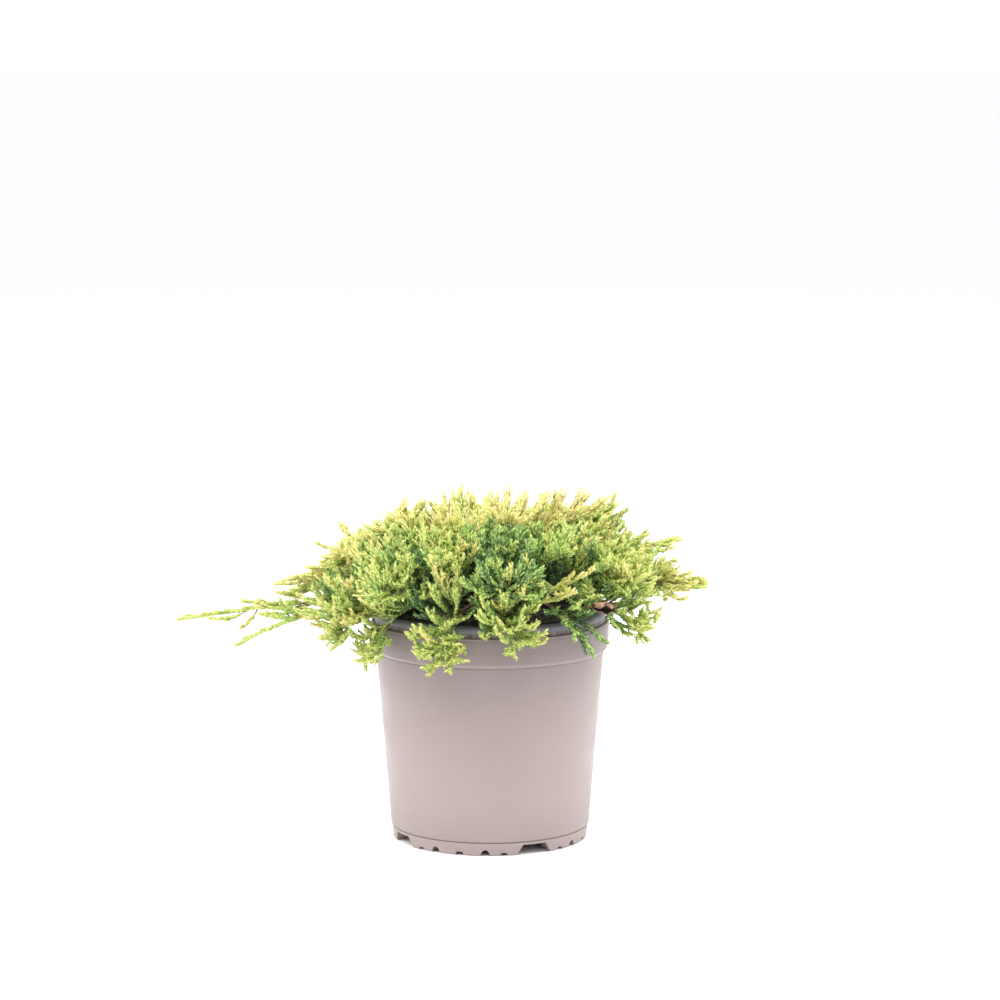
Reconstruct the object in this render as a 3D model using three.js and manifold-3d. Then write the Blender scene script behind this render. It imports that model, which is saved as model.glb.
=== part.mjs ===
// A golden carpet juniper in its nursery pot: a low conifer whose limbs fan out over the rim from one short stem.
// Millimetres, +Z up. X runs to the right of the front view and Y away from it, and the pot stands on Z = 0.
// The plant is worked out round the pot's axis, and then moved so that the origin is the middle of its outer box.
import * as THREE from 'three';
import { mergeVertices } from 'three/addons/utils/BufferGeometryUtils.js';
import Module from 'manifold-3d';

const wasm = await Module();
wasm.setup();
const { Manifold, Mesh } = wasm;

// Driving dimensions of the pot.
const POT_SIDES = 40;
const WALL = 1.6;
const FOOT_HEIGHT = 10.6;
const FOOT_RADIUS = 77.2;
const FOOT_DEPTH = 12;
const FLOOR_UNDERSIDE = 8;
const BODY_BOTTOM_RADIUS = 79.3;
const BODY_TOP_RADIUS = 90.8;
const COLLAR_BOTTOM = 151.4;
const COLLAR_RADIUS = 95;
const COLLAR_TOP = 175;
const LIP_RADIUS = 92.5;
const LIP_TOP = 184;
const LIP_ROUND = 4.6;
const SOIL_TOP = 172;
const GAP = 0.3;

// Driving dimensions of the notches round the foot, in degrees and millimetres.
const CHANNEL_ANGLES = [27, 117, 207, 297];
const CHANNEL_TOP_WIDTH = 20;
const CHANNEL_BOTTOM_WIDTH = 31;
const CHANNEL_HEIGHT = 8.2;
const SMALL_NOTCHES = [
  { offset: 0, width: 6.2, height: 2.5, round: false },
  { offset: 15.4, width: 6.7, height: 4.3, round: true },
  { offset: -15.4, width: 6.7, height: 4.3, round: true },
  { offset: 26.3, width: 4.6, height: 1.9, round: false },
  { offset: -26.3, width: 4.6, height: 1.9, round: false },
];
const DRAIN_HOLES = 6;
const DRAIN_RADIUS = 4.5;
const DRAIN_CIRCLE = 50;

// Driving dimensions of the plant.
const TRUNK_TOP = 208;
const TRUNK_RADIUS = 5.6;
const TRUNK_FLARE = 8.4;
const TRUNK_LEAN = 2.5;
const BOUGH_SIDES = 5;
const BOUGH_STEPS = 4;
const BOUGH_BUTT = 2.1;
const BOUGH_END = 1.5;
const STEM_SIDES = 4;
const STEM_END = 0.7;
const TWIG_RADIUS = 0.9;
const SPRAY_LENGTH = 45;
const SPRAY_WIDTH = 29;
const TIP_LENGTH = 28;
const TIP_WIDTH = 15;
const TIP_TURN = 45;
const SPRAYS_APART = 15;
const SPRAY_SCALES = [1, 0.85, 0.7, 0.56];
const SPRAY_THICKNESS = 2;
const TWIG_SPACING = 20;
const TWIG_TRIES = 14;
const TWIG_LENGTH = [5, 16];
const TWIG_OPENING = [30, 66];
const UPRIGHT_ROLL = [60, 120];
const SPRAY_TURN = 75;
const SPACE_MARGIN = 0.6;
const LIMB_MARGIN = 1.6;
const REACH_MARGIN = 8;
const DROOP = 40;

// The crown's outline: how high its sprays may reach at each distance from the axis, and at each x seen from the front.
const CROWN_ROUND = [[0, 279], [102, 274], [124, 250], [152, 240], [172, 208], [205, 192], [260, 184]];
const CROWN_FRONT = [
  [-251, 178], [-225, 181], [-205, 184], [-186, 192], [-170, 203], [-150, 210], [-140, 216], [-131, 233], [-118, 246],
  [-99, 251], [-88, 258], [-76, 274], [0, 277], [104, 274], [108, 262], [116, 246], [152, 241], [160, 224], [175, 207],
];
// The foot of that outline, outside the pot.
const CROWN_FOOT = [
  [-251, 172], [-205, 166], [-196, 156], [-185, 171], [-150, 177], [-132, 172], [-118, 158], [-88, 147], [0, 150],
  [60, 156], [100, 158], [120, 164], [128, 176], [150, 190], [175, 198],
];

// Each tier of limbs leaves the trunk in rings at its own heights. A limb goes into its foliage at entry, a share of
// its length. Its knee is the pull of its first part outwards and upwards, and roll is how its twigs tilt up from it.
const TIERS = {
  low: { rings: [176.5, 181.5, 186.5], entry: 0.27, out: 0.36, knee: 203, roll: [-45, 65], lift: 0, twigs: 7 },
  mid: { rings: [191.2, 195.4, 199.6], entry: 0.25, out: 0.3, knee: 222, roll: [-50, 75], lift: 0.1, twigs: 7 },
  top: { rings: [203.6], entry: 0, out: 0.2, knee: 230, roll: [-80, 80], lift: 0.3, twigs: 6 },
};

// One limb a row: the azimuth of its tip (0 to the right, 90 to the back), how far that is from the axis, its height,
// how far the limb arches above the tip, and how far it turns on its way.
const LIMBS = [
  { name: 'runner_left', tier: 'low', azimuth: 180, reach: 250, height: 175, arch: 4, turn: 4 },
  { name: 'runner_fore', tier: 'low', azimuth: 197, reach: 205, height: 165, arch: 22, turn: 3 },
  { name: 'skirt_left', tier: 'low', azimuth: 206, reach: 142, height: 164, arch: 38, turn: -2 },
  { name: 'hang_left', tier: 'low', azimuth: 217, reach: 122, height: 150, arch: 58, turn: -4 },
  { name: 'hang_fore', tier: 'low', azimuth: 249, reach: 122, height: 153, arch: 54, turn: -9 },
  { name: 'lip_fore', tier: 'low', azimuth: 279, reach: 122, height: 168, arch: 42, turn: 5 },
  { name: 'hang_right', tier: 'low', azimuth: 309, reach: 119, height: 163, arch: 46, turn: 4 },
  { name: 'skirt_right', tier: 'low', azimuth: 339, reach: 132, height: 165, arch: 40, turn: 3 },
  { name: 'runner_right', tier: 'low', azimuth: 5, reach: 174, height: 204, arch: 4, turn: -3 },
  { name: 'skirt_back_right', tier: 'low', azimuth: 40, reach: 150, height: 182, arch: 28, turn: 6 },
  { name: 'skirt_back', tier: 'low', azimuth: 87, reach: 146, height: 179, arch: 30, turn: -6 },
  { name: 'skirt_back_left', tier: 'low', azimuth: 134, reach: 160, height: 180, arch: 28, turn: 5 },
  { name: 'mid_left', tier: 'mid', azimuth: 173, reach: 172, height: 201, arch: 14, turn: 3 },
  { name: 'mid_high_left', tier: 'mid', azimuth: 194, reach: 136, height: 230, arch: 4, turn: 4 },
  { name: 'mid_low_fore', tier: 'mid', azimuth: 229, reach: 128, height: 208, arch: 14, turn: 0 },
  { name: 'mid_fore_left', tier: 'mid', azimuth: 252, reach: 120, height: 238, arch: -4, turn: 4 },
  { name: 'mid_fore', tier: 'mid', azimuth: 277, reach: 124, height: 216, arch: 8, turn: 4 },
  { name: 'mid_fore_right', tier: 'mid', azimuth: 301, reach: 118, height: 244, arch: -10, turn: 5 },
  { name: 'mid_right', tier: 'mid', azimuth: 330, reach: 132, height: 216, arch: 6, turn: -4 },
  { name: 'mid_high_right', tier: 'mid', azimuth: 4, reach: 151, height: 240, arch: -8, turn: 4 },
  { name: 'mid_back_right', tier: 'mid', azimuth: 48, reach: 136, height: 238, arch: -4, turn: -4 },
  { name: 'mid_back', tier: 'mid', azimuth: 92, reach: 130, height: 240, arch: -4, turn: 5 },
  { name: 'mid_back_left', tier: 'mid', azimuth: 136, reach: 134, height: 234, arch: -4, turn: -4 },
  { name: 'top_left', tier: 'top', azimuth: 186, reach: 102, height: 253, arch: -8, turn: -5 },
  { name: 'top_fore_left', tier: 'top', azimuth: 236, reach: 72, height: 275, arch: -24, turn: 0 },
  { name: 'top_fore', tier: 'top', azimuth: 288, reach: 62, height: 276, arch: -24, turn: 0 },
  { name: 'top_middle', tier: 'top', azimuth: 172, reach: 46, height: 277, arch: -24, turn: 14 },
  { name: 'top_right', tier: 'top', azimuth: 340, reach: 76, height: 275, arch: -24, turn: 4 },
  { name: 'top_far_right', tier: 'top', azimuth: 17, reach: 109, height: 271, arch: -24, turn: -4 },
  { name: 'top_back', tier: 'top', azimuth: 93, reach: 80, height: 268, arch: -20, turn: 0 },
];

const BARK = new THREE.MeshStandardMaterial({ color: 0x7a5a44, roughness: 0.85, metalness: 0 });
const SOIL = new THREE.MeshStandardMaterial({ color: 0x2a211c, roughness: 0.95, metalness: 0 });
const TAUPE = new THREE.MeshStandardMaterial({ color: 0x9d8a84, roughness: 0.5, metalness: 0 });
const GOLD = new THREE.MeshStandardMaterial({ color: 0xcdc257, roughness: 0.6, metalness: 0 });
const GREEN = new THREE.MeshStandardMaterial({ color: 0x86a344, roughness: 0.6, metalness: 0 });

const radians = THREE.MathUtils.degToRad;
const mix = THREE.MathUtils.lerp;
const at = (x, y, z) => new THREE.Vector3(x, y, z);
const UP = at(0, 0, 1);

// A repeatable number from 0 to 1 for each pair of whole numbers.
function dice(a, b) {
  const s = Math.sin(a * 12.9898 + b * 78.233) * 43758.5453;
  return s - Math.floor(s);
}

function polar(azimuth, radius, height) {
  return at(radius * Math.cos(radians(azimuth)), radius * Math.sin(radians(azimuth)), height);
}

// Solids: a closed geometry as something that can be joined and cut, and back again.
function solidFrom(geometry) {
  const bare = geometry.clone();
  bare.deleteAttribute('normal');
  bare.deleteAttribute('uv');
  const merged = mergeVertices(bare, 1e-4);
  const index = merged.index.array;
  const kept = [];
  for (let i = 0; i < index.length; i += 3) {
    const [a, b, c] = index.slice(i, i + 3);
    if (a !== b && b !== c && a !== c) kept.push(a, b, c);
  }
  const vertProperties = merged.attributes.position.array;
  return new Manifold(new Mesh({ numProp: 3, vertProperties, triVerts: new Uint32Array(kept) }));
}

function geometryFrom(solid) {
  const { vertProperties, triVerts } = solid.getMesh();
  const geometry = new THREE.BufferGeometry();
  geometry.setAttribute('position', new THREE.BufferAttribute(vertProperties, 3));
  geometry.setIndex(new THREE.BufferAttribute(triVerts, 1));
  geometry.computeVertexNormals();
  return geometry;
}

// The one body that matters when a join leaves a loose scrap or a sealed bubble.
function largest(solid) {
  return solid.decompose().reduce((a, b) => (b.volume() > a.volume() ? b : a));
}

function named(name, geometry, material) {
  const mesh = new THREE.Mesh(geometry, material);
  mesh.name = name;
  return mesh;
}

function lathe(profile, sides) {
  const points = profile.map(([r, z]) => new THREE.Vector2(r, z));
  return new THREE.LatheGeometry(points, sides).rotateX(Math.PI / 2);
}

// The pot: a thin tapered wall under a collar, a rolled lip, and a deep foot ring cut by channels and small notches.
function potWall() {
  const round = [];
  for (const share of [0.35, 0.7, 1]) {
    const turn = (share * Math.PI) / 2;
    round.push([
      LIP_RADIUS - LIP_ROUND * (1 - Math.cos(turn)),
      LIP_TOP - LIP_ROUND * (1 - Math.sin(turn)),
    ]);
  }
  return lathe([
    [0, FLOOR_UNDERSIDE],
    [FOOT_RADIUS - FOOT_DEPTH, FLOOR_UNDERSIDE],
    [FOOT_RADIUS - FOOT_DEPTH + 0.6, 0],
    [FOOT_RADIUS, 0],
    [FOOT_RADIUS + 1.2, FOOT_HEIGHT],
    [BODY_BOTTOM_RADIUS, FOOT_HEIGHT + 0.8],
    [BODY_TOP_RADIUS, COLLAR_BOTTOM],
    [COLLAR_RADIUS - 1, COLLAR_BOTTOM + 4],
    [COLLAR_RADIUS, COLLAR_BOTTOM + 9],
    [COLLAR_RADIUS - 0.5, COLLAR_TOP],
    [LIP_RADIUS, COLLAR_TOP + 0.3],
    [LIP_RADIUS, LIP_TOP - LIP_ROUND],
    ...round,
    [LIP_RADIUS - LIP_ROUND - 0.4, LIP_TOP - 1.4],
    [LIP_RADIUS - WALL - 0.4, COLLAR_TOP + 1],
    [COLLAR_RADIUS - WALL - 0.6, COLLAR_BOTTOM + 9],
    [BODY_TOP_RADIUS - WALL, COLLAR_BOTTOM + 1.6],
    [BODY_BOTTOM_RADIUS - WALL - 0.2, FLOOR_UNDERSIDE + WALL],
    [0, FLOOR_UNDERSIDE + WALL],
  ], POT_SIDES);
}

// A cutter that runs out through the foot ring at an azimuth, with the outline of a notch across its way.
function notchCutter(outline, azimuth) {
  const shape = new THREE.Shape(outline.map(([x, z]) => new THREE.Vector2(x, z)));
  const cutter = new THREE.ExtrudeGeometry(shape, { depth: FOOT_DEPTH * 2.2, bevelEnabled: false });
  cutter.rotateX(Math.PI / 2).rotateZ(Math.PI / 2);
  cutter.translate(FOOT_RADIUS - FOOT_DEPTH * 1.3, 0, 0).rotateZ(radians(azimuth));
  return solidFrom(cutter);
}

function trapezoid(bottom, top, height) {
  return [[-bottom / 2, -1], [bottom / 2, -1], [bottom / 2, 0], [top / 2, height], [-top / 2, height], [-bottom / 2, 0]];
}

function archway(width, height) {
  const outline = [[-width / 2, -1], [width / 2, -1]];
  for (let i = 0; i <= 4; i++) {
    const turn = (i * Math.PI) / 4;
    outline.push([(width / 2) * Math.cos(turn), height * Math.sin(turn)]);
  }
  return outline;
}

function pot() {
  let solid = solidFrom(potWall());
  for (const azimuth of CHANNEL_ANGLES) {
    solid = solid.subtract(notchCutter(trapezoid(CHANNEL_BOTTOM_WIDTH, CHANNEL_TOP_WIDTH, CHANNEL_HEIGHT), azimuth));
    for (const { offset, width, height, round } of SMALL_NOTCHES) {
      const outline = round ? archway(width, height) : trapezoid(width * 1.25, width * 0.75, height);
      solid = solid.subtract(notchCutter(outline, azimuth + 45 + offset));
    }
  }
  for (let i = 0; i < DRAIN_HOLES; i++) {
    const drill = new THREE.CylinderGeometry(DRAIN_RADIUS, DRAIN_RADIUS, 6, 8).rotateX(Math.PI / 2);
    const centre = polar((i * 360) / DRAIN_HOLES, DRAIN_CIRCLE, FLOOR_UNDERSIDE);
    solid = solid.subtract(solidFrom(drill.translate(centre.x, centre.y, centre.z)));
  }
  return named('pot', geometryFrom(solid), TAUPE);
}

// The soil fills the pot from its floor to a low dome, a hair clear of the wall.
function soil() {
  const inside = WALL + GAP;
  const geometry = lathe([
    [0, FLOOR_UNDERSIDE + WALL + GAP],
    [BODY_BOTTOM_RADIUS - inside - 0.6, FLOOR_UNDERSIDE + WALL + GAP],
    [BODY_TOP_RADIUS - inside - 0.1, COLLAR_BOTTOM + 1],
    [COLLAR_RADIUS - inside - 0.8, COLLAR_BOTTOM + 9],
    [COLLAR_RADIUS - inside - 2.3, SOIL_TOP - 4],
    [COLLAR_RADIUS - inside - 8, SOIL_TOP - 2],
    [TRUNK_FLARE * 4, SOIL_TOP],
    [0, SOIL_TOP],
  ], POT_SIDES / 2);
  return named('soil', geometry, SOIL);
}

// A closed tapering limb with flat ends along a curve, with a vector that its corners are counted from.
function limbSolid(curve, from, to, steps, sides, radiusAt, across) {
  const positions = [];
  const index = [];
  for (let i = 0; i <= steps; i++) {
    const share = i / steps;
    const t = mix(from, to, share);
    const centre = curve.getPoint(t);
    const along = curve.getTangent(t);
    const side = across.clone().addScaledVector(along, -across.dot(along)).normalize();
    const rise = along.clone().cross(side);
    for (let k = 0; k < sides; k++) {
      const turn = (2 * Math.PI * k) / sides;
      const corner = centre.clone()
        .addScaledVector(side, radiusAt(share) * Math.cos(turn))
        .addScaledVector(rise, radiusAt(share) * Math.sin(turn));
      positions.push(...corner);
    }
  }
  for (let i = 0; i < steps; i++) {
    for (let k = 0; k < sides; k++) {
      const a = i * sides + k;
      const b = i * sides + ((k + 1) % sides);
      index.push(a, b, b + sides, a, b + sides, a + sides);
    }
  }
  for (let k = 1; k < sides - 1; k++) {
    index.push(0, k + 1, k);
    index.push(steps * sides, steps * sides + k, steps * sides + k + 1);
  }
  const geometry = new THREE.BufferGeometry();
  geometry.setAttribute('position', new THREE.Float32BufferAttribute(positions, 3));
  geometry.setIndex(index);
  return solidFrom(geometry);
}

const trunkCurve = new THREE.LineCurve3(at(0, 0, SOIL_TOP + GAP), at(-TRUNK_LEAN, TRUNK_LEAN, TRUNK_TOP));

function trunkRadius(height) {
  const share = (height - SOIL_TOP) / (TRUNK_TOP - SOIL_TOP);
  const flare = Math.max(0, 1 - share * 3.2) ** 2;
  return TRUNK_RADIUS * mix(1, 0.72, share) + (TRUNK_FLARE - TRUNK_RADIUS) * flare;
}

// The trunk stands in level rings, so that its foot is a flat cut at the soil.
function trunk() {
  const heights = [0, 0.1, 0.22, 0.4, 0.6, 0.8, 1].map((share) => mix(SOIL_TOP + GAP, TRUNK_TOP, share));
  const profile = [[0, heights[0]], ...heights.map((z) => [trunkRadius(z), z]), [0, TRUNK_TOP]];
  const geometry = lathe(profile, 9);
  const position = geometry.attributes.position;
  for (let i = 0; i < position.count; i++) {
    const share = (position.getZ(i) - SOIL_TOP - GAP) / (TRUNK_TOP - SOIL_TOP - GAP);
    position.setX(i, position.getX(i) - TRUNK_LEAN * share);
    position.setY(i, position.getY(i) + TRUNK_LEAN * share);
  }
  return named('trunk', geometryFrom(solidFrom(geometry)), BARK);
}

// The line of a limb from the trunk's bark, where its flat end just clears, to its furthest tip.
function limbCurve(limb, number) {
  const tier = TIERS[limb.tier];
  const ring = tier.rings[number % tier.rings.length];
  const centre = trunkCurve.getPoint((ring - SOIL_TOP - GAP) / (TRUNK_TOP - SOIL_TOP - GAP));
  const leave = (outset) => polar(limb.azimuth - limb.turn * 2, outset, 0).add(centre);
  const knee = polar(limb.azimuth - limb.turn * 1.6, TRUNK_RADIUS + limb.reach * tier.out, tier.knee);
  const steep = knee.clone().sub(leave(trunkRadius(ring))).normalize().z;
  const start = leave(trunkRadius(ring) + GAP + (limb.tier === 'top' ? BOUGH_END : BOUGH_BUTT) * steep);
  const bend = polar(limb.azimuth - limb.turn * 0.4, limb.reach * 0.82, limb.height + limb.arch);
  return new THREE.CubicBezierCurve3(start, knee, bend, polar(limb.azimuth, limb.reach, limb.height));
}

const limbs = LIMBS.map((limb, number) => {
  const curve = limbCurve(limb, number);
  const across = polar(limb.azimuth - limb.turn + 90, 1, 0);
  return { ...TIERS[limb.tier], ...limb, number, curve, across, length: curve.getLength() };
});

function bough(limb) {
  const radiusAt = (share) => mix(BOUGH_BUTT, BOUGH_END, share);
  const solid = limbSolid(limb.curve, 0, limb.entry, BOUGH_STEPS, BOUGH_SIDES, radiusAt, limb.across);
  return named('bough_' + limb.name, geometryFrom(solid), BARK);
}

// Spaces: each mass keeps to the points that lie nearer to its own limb than to any other, off the boughs and the pot
// and within the crown's outline.
const SAMPLES = 30;
for (const limb of limbs) {
  const spine = limb.curve.getPoints(SAMPLES);
  const entry = Math.ceil(limb.entry * SAMPLES);
  limb.leafy = spine.slice(entry);
  limb.bare = spine.slice(0, entry + 1);
}

function distanceTo(points, p) {
  return Math.sqrt(Math.min(...points.map((q) => q.distanceToSquared(p))));
}

function heightOn(outline, place) {
  const k = outline.findIndex(([position]) => position > place);
  const [[p0, z0], [p1, z1]] = [outline[k - 1], outline[k]];
  return mix(z0, z1, (place - p0) / (p1 - p0));
}

function clearOfPot(p, r) {
  if (r < LIP_RADIUS - LIP_ROUND - 2) return p.z > SOIL_TOP + 1;
  return r > COLLAR_RADIUS + 1 || p.z > LIP_TOP + 1;
}

function inSpace(limb, p) {
  const r = Math.hypot(p.x, p.y);
  if (r > limb.reach + REACH_MARGIN || p.x < CROWN_FRONT[0][0] || p.x > CROWN_FRONT.at(-1)[0]) return false;
  if (!clearOfPot(p, r) || p.z < Math.max(limb.height - DROOP, heightOn(CROWN_FOOT, p.x))) return false;
  if (p.z > Math.min(heightOn(CROWN_ROUND, r), heightOn(CROWN_FRONT, p.x))) return false;
  const own = distanceTo(limb.leafy, p);
  return limbs.every((other) => other === limb || (distanceTo(other.leafy, p) > own + SPACE_MARGIN
    && distanceTo(other.bare, p) > BOUGH_BUTT + LIMB_MARGIN));
}

// A spray of needles: a thin blade of five fingers, thickest at its middle, given by shares of its length and width.
// Its midrib and its fingers keep to the mass's space, and its marks keep off those of the other sprays.
const FINGERS = [
  [0.2, 0.07], [0.48, 0.46], [0.46, 0.15], [0.8, 0.38], [0.68, 0.11], [1, 0],
  [0.62, -0.12], [0.74, -0.44], [0.42, -0.16], [0.34, -0.44], [0.18, -0.07],
];
const SPRAY_MIDDLE = 0.4;
const MIDRIB = [[0.15, 0], [0.3, 0], [0.5, 0], [0.75, 0]];
const MARKS = [0.5, 0.9];

// Where a spray's corners lie, on from a root, with its width and its thickness square to its length.
function sprayPlacer(root, along, turn, length, width) {
  const across = along.clone().cross(UP).normalize().applyAxisAngle(along, radians(turn));
  const normal = along.clone().cross(across);
  return (a, b, c) => root.clone()
    .addScaledVector(along, a * length)
    .addScaledVector(across, b * width)
    .addScaledVector(normal, c);
}

// One closed body: a three-sided twig from its foot to the spray's root, that widens there into the spray.
const TWIG_SECTION = [[0, 1], [-0.9, -0.5], [0.9, -0.5]];

function spraySolid(put, foot) {
  const root = put(0, 0, 0);
  const sections = foot ? [foot, root] : [root];
  const corner = ([b, c]) => put(0, 1, 0).sub(root).setLength(TWIG_RADIUS * Math.abs(b)).multiplyScalar(Math.sign(b))
    .add(put(0, 0, TWIG_RADIUS * c)).sub(root);
  const points = sections.flatMap((centre) => TWIG_SECTION.map((place) => corner(place).add(centre)));
  const index = [0, 2, 1];
  if (foot) index.push(0, 1, 4, 0, 4, 3, 1, 2, 5, 1, 5, 4, 2, 0, 3, 2, 3, 5);
  const last = points.length - 3;
  points.push(...FINGERS.map(([a, b]) => put(a, b, 0)));
  const above = points.push(put(SPRAY_MIDDLE, 0, SPRAY_THICKNESS / 2)) - 1;
  const below = points.push(put(SPRAY_MIDDLE, 0, -SPRAY_THICKNESS / 2)) - 1;
  const outline = [last + 2, ...FINGERS.map((_, k) => last + 3 + k), last + 1];
  const rimAbove = [last, ...outline, last];
  for (let k = 0; k < rimAbove.length - 1; k++) index.push(rimAbove[k], above, rimAbove[k + 1]);
  for (let k = 0; k < outline.length; k++) index.push(outline[(k + 1) % outline.length], below, outline[k]);
  const geometry = new THREE.BufferGeometry();
  geometry.setAttribute('position', new THREE.Float32BufferAttribute(points.flatMap((p) => [...p]), 3));
  geometry.setIndex(index);
  return solidFrom(geometry);
}

// The ways a twig may go, tried in turn until its spray fits: left, right and upwards by turns along the stem.
function twigAims(limb, j, along) {
  const side = limb.across.clone().addScaledVector(along, -limb.across.dot(along)).normalize();
  const rise = along.clone().cross(side);
  if (rise.z < 0) rise.negate();
  return Array.from({ length: TWIG_TRIES }, (_, k) => {
    const chance = (n) => dice(limb.number + 1, j * 31 + k * 7 + n);
    const roll = radians(mix(...(j % 3 === 2 ? UPRIGHT_ROLL : limb.roll), chance(1)));
    const turned = j % 3 === 1 ? -1 : 1;
    const open = radians(mix(...TWIG_OPENING, chance(2)));
    const aim = along.clone().multiplyScalar(Math.cos(open))
      .addScaledVector(side, turned * Math.cos(roll) * Math.sin(open))
      .addScaledVector(rise, Math.sin(roll) * Math.sin(open));
    return { aim, turn: mix(-SPRAY_TURN, SPRAY_TURN, chance(3)), twig: mix(...TWIG_LENGTH, chance(4)) };
  });
}

// The first spray that fits at a place on the stem, at the largest scale that any of its ways allows.
function fitSpray(limb, j, t, taken) {
  const foot = limb.curve.getPoint(t);
  const twigged = j % 3 !== 2;
  const ways = twigAims(limb, j, limb.curve.getTangent(t));
  for (const scale of SPRAY_SCALES) {
    for (const { aim, turn, twig } of ways) {
      const root = twigged ? foot.clone().addScaledVector(aim, twig) : foot;
      const along = aim.clone().addScaledVector(UP, limb.lift).normalize();
      const put = sprayPlacer(root, along, turn, SPRAY_LENGTH * scale, SPRAY_WIDTH * scale);
      const marks = MARKS.map((share) => put(share, 0, 0));
      const fits = [...FINGERS, ...MIDRIB].every(([a, b]) => inSpace(limb, put(a, b, 0)))
        && marks.every((p) => distanceTo(taken, p) > SPRAYS_APART * scale);
      if (fits) return { marks, solid: spraySolid(put, twigged ? foot : null) };
    }
  }
  return null;
}

// A mass: a stem with a spray at its tip, and with twigs along it that each end in a spray.
function mass(limb) {
  const from = limb.entry ? limb.entry + GAP / limb.length : 0;
  const to = 1 - TIP_LENGTH / limb.length;
  const stemRadius = (share) => mix(BOUGH_END - 0.1, STEM_END, share);
  const steps = limb.entry ? 6 : 4;
  const pieces = [limbSolid(limb.curve, from, to + 0.02, steps, STEM_SIDES, stemRadius, limb.across)];
  const root = limb.curve.getPoint(to);
  const tip = limb.curve.getPoint(1).sub(root);
  const last = sprayPlacer(root, tip.clone().normalize(), TIP_TURN, tip.length(), TIP_WIDTH);
  pieces.push(spraySolid(last, null));
  const taken = MARKS.map((share) => last(share, 0, 0));
  const first = Math.max(limb.entry + 0.02, 0.28);
  const count = Math.max(limb.twigs, Math.round((limb.length * (to - first)) / TWIG_SPACING));
  for (let j = 0; j < count; j++) {
    const spray = fitSpray(limb, j, mix(first, to, (j + 0.3) / count), taken);
    if (!spray) continue;
    taken.push(...spray.marks);
    pieces.push(spray.solid);
  }
  const solid = largest(Manifold.union(pieces));
  return named('mass_' + limb.name, geometryFrom(solid), limb.tier === 'top' ? GOLD : GREEN);
}

const plant = new THREE.Group();
plant.add(pot(), soil(), trunk());
for (const limb of limbs) {
  if (limb.entry) plant.add(bough(limb));
  plant.add(mass(limb));
}
const middle = new THREE.Box3().setFromObject(plant).getCenter(at(0, 0, 0));
plant.position.set(-middle.x, -middle.y, 0);

const potted = new THREE.Group();
potted.add(plant);

export default potted;
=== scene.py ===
"""A potted golden carpet juniper, dressed round its solid model.

Sizes of the plant are in millimetres round the pot's axis, as its solids have them, and become metres in the
frame only when a mesh is made.
"""
import math

import bpy
import numpy as np
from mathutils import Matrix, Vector


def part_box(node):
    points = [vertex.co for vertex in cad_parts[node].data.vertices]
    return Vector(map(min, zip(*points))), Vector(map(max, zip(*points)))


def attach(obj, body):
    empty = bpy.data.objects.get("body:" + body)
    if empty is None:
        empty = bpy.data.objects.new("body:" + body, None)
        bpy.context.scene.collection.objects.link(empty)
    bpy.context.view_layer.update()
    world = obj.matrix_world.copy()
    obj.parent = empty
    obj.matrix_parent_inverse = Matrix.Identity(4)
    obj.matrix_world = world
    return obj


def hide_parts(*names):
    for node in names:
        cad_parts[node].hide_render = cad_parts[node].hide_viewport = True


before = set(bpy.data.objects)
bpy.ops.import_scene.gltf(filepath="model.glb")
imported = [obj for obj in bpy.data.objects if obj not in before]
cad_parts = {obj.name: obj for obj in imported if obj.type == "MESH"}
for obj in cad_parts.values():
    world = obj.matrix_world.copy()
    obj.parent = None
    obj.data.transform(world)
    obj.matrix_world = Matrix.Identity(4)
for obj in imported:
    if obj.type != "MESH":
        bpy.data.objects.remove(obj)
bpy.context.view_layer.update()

MM = 0.001
UP = np.array([0.0, 0.0, 1.0])
POT_LOW, POT_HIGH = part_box("pot")
AXIS = np.array([(POT_LOW.x + POT_HIGH.x) / 2, (POT_LOW.y + POT_HIGH.y) / 2, 0.0])

# The pot: a tapered wall under a collar, a rolled lip, and a foot ring with channels and notches.
POT_SIDES = 160
WALL = 1.6
FOOT_HEIGHT = 10.6
FOOT_RADIUS = 77.2
FOOT_DEPTH = 12
FLOOR_UNDERSIDE = 8
BODY_BOTTOM_RADIUS = 79.3
BODY_TOP_RADIUS = 90.8
COLLAR_BOTTOM = 151.4
COLLAR_RADIUS = 95
COLLAR_TOP = 175
RECESS_RADIUS = 91.8
LIP_RADIUS = 92.5
LIP_TOP = 184
LIP_ROUND = 4.6
LIP_FOOT = LIP_TOP - LIP_ROUND
DRAIN_HOLES = 6
DRAIN_RADIUS = 4.5
DRAIN_CIRCLE = 50
SOIL_TOP = 172
GAP = 0.3

# What is cut out of the foot ring: the widths at the foot and at the top, the height, and whether it is an
# archway. The small notches between two channels have their angle from the middle before that.
CHANNEL_ANGLES = [27, 117, 207, 297]
CHANNEL = (40, 20, 8.2, False)
SMALL_NOTCHES = [(0, 9.24, 4.95, 2.9, False), (15.4, 7.2, 5.4, 4.9, True), (-15.4, 7.2, 5.4, 4.9, True),
                 (26.3, 7.84, 4.2, 2.4, False), (-26.3, 7.84, 4.2, 2.4, False)]

# Painted light on the pot's plastic at each height: painted shade of the crown, darkest towards the collar,
# and painted highlights on the ledge's chamfer and on the collar's top edge.
POT_PAINTED_LIGHT = [(0, 0.9), (38, 0.9), (63, 0.86), (89, 0.81), (115, 0.75), (135, 0.68), (151.2, 0.62),
             (151.5, 0.71), (154, 0.71), (154.6, 0.57), (173.4, 0.54), (174.2, 0.9), (175.2, 0.9)]

# The wood: the trunk, the boughs as far as their foliage, and the stems that run on from them.
TRUNK_TOP = 208
TRUNK_RADIUS = 5.6
TRUNK_FLARE = 8.4
TRUNK_LEAN = 2.5
BOUGH_BUTT = 2.1
BOUGH_END = 1.5
STEM_END = 0.5

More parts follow.
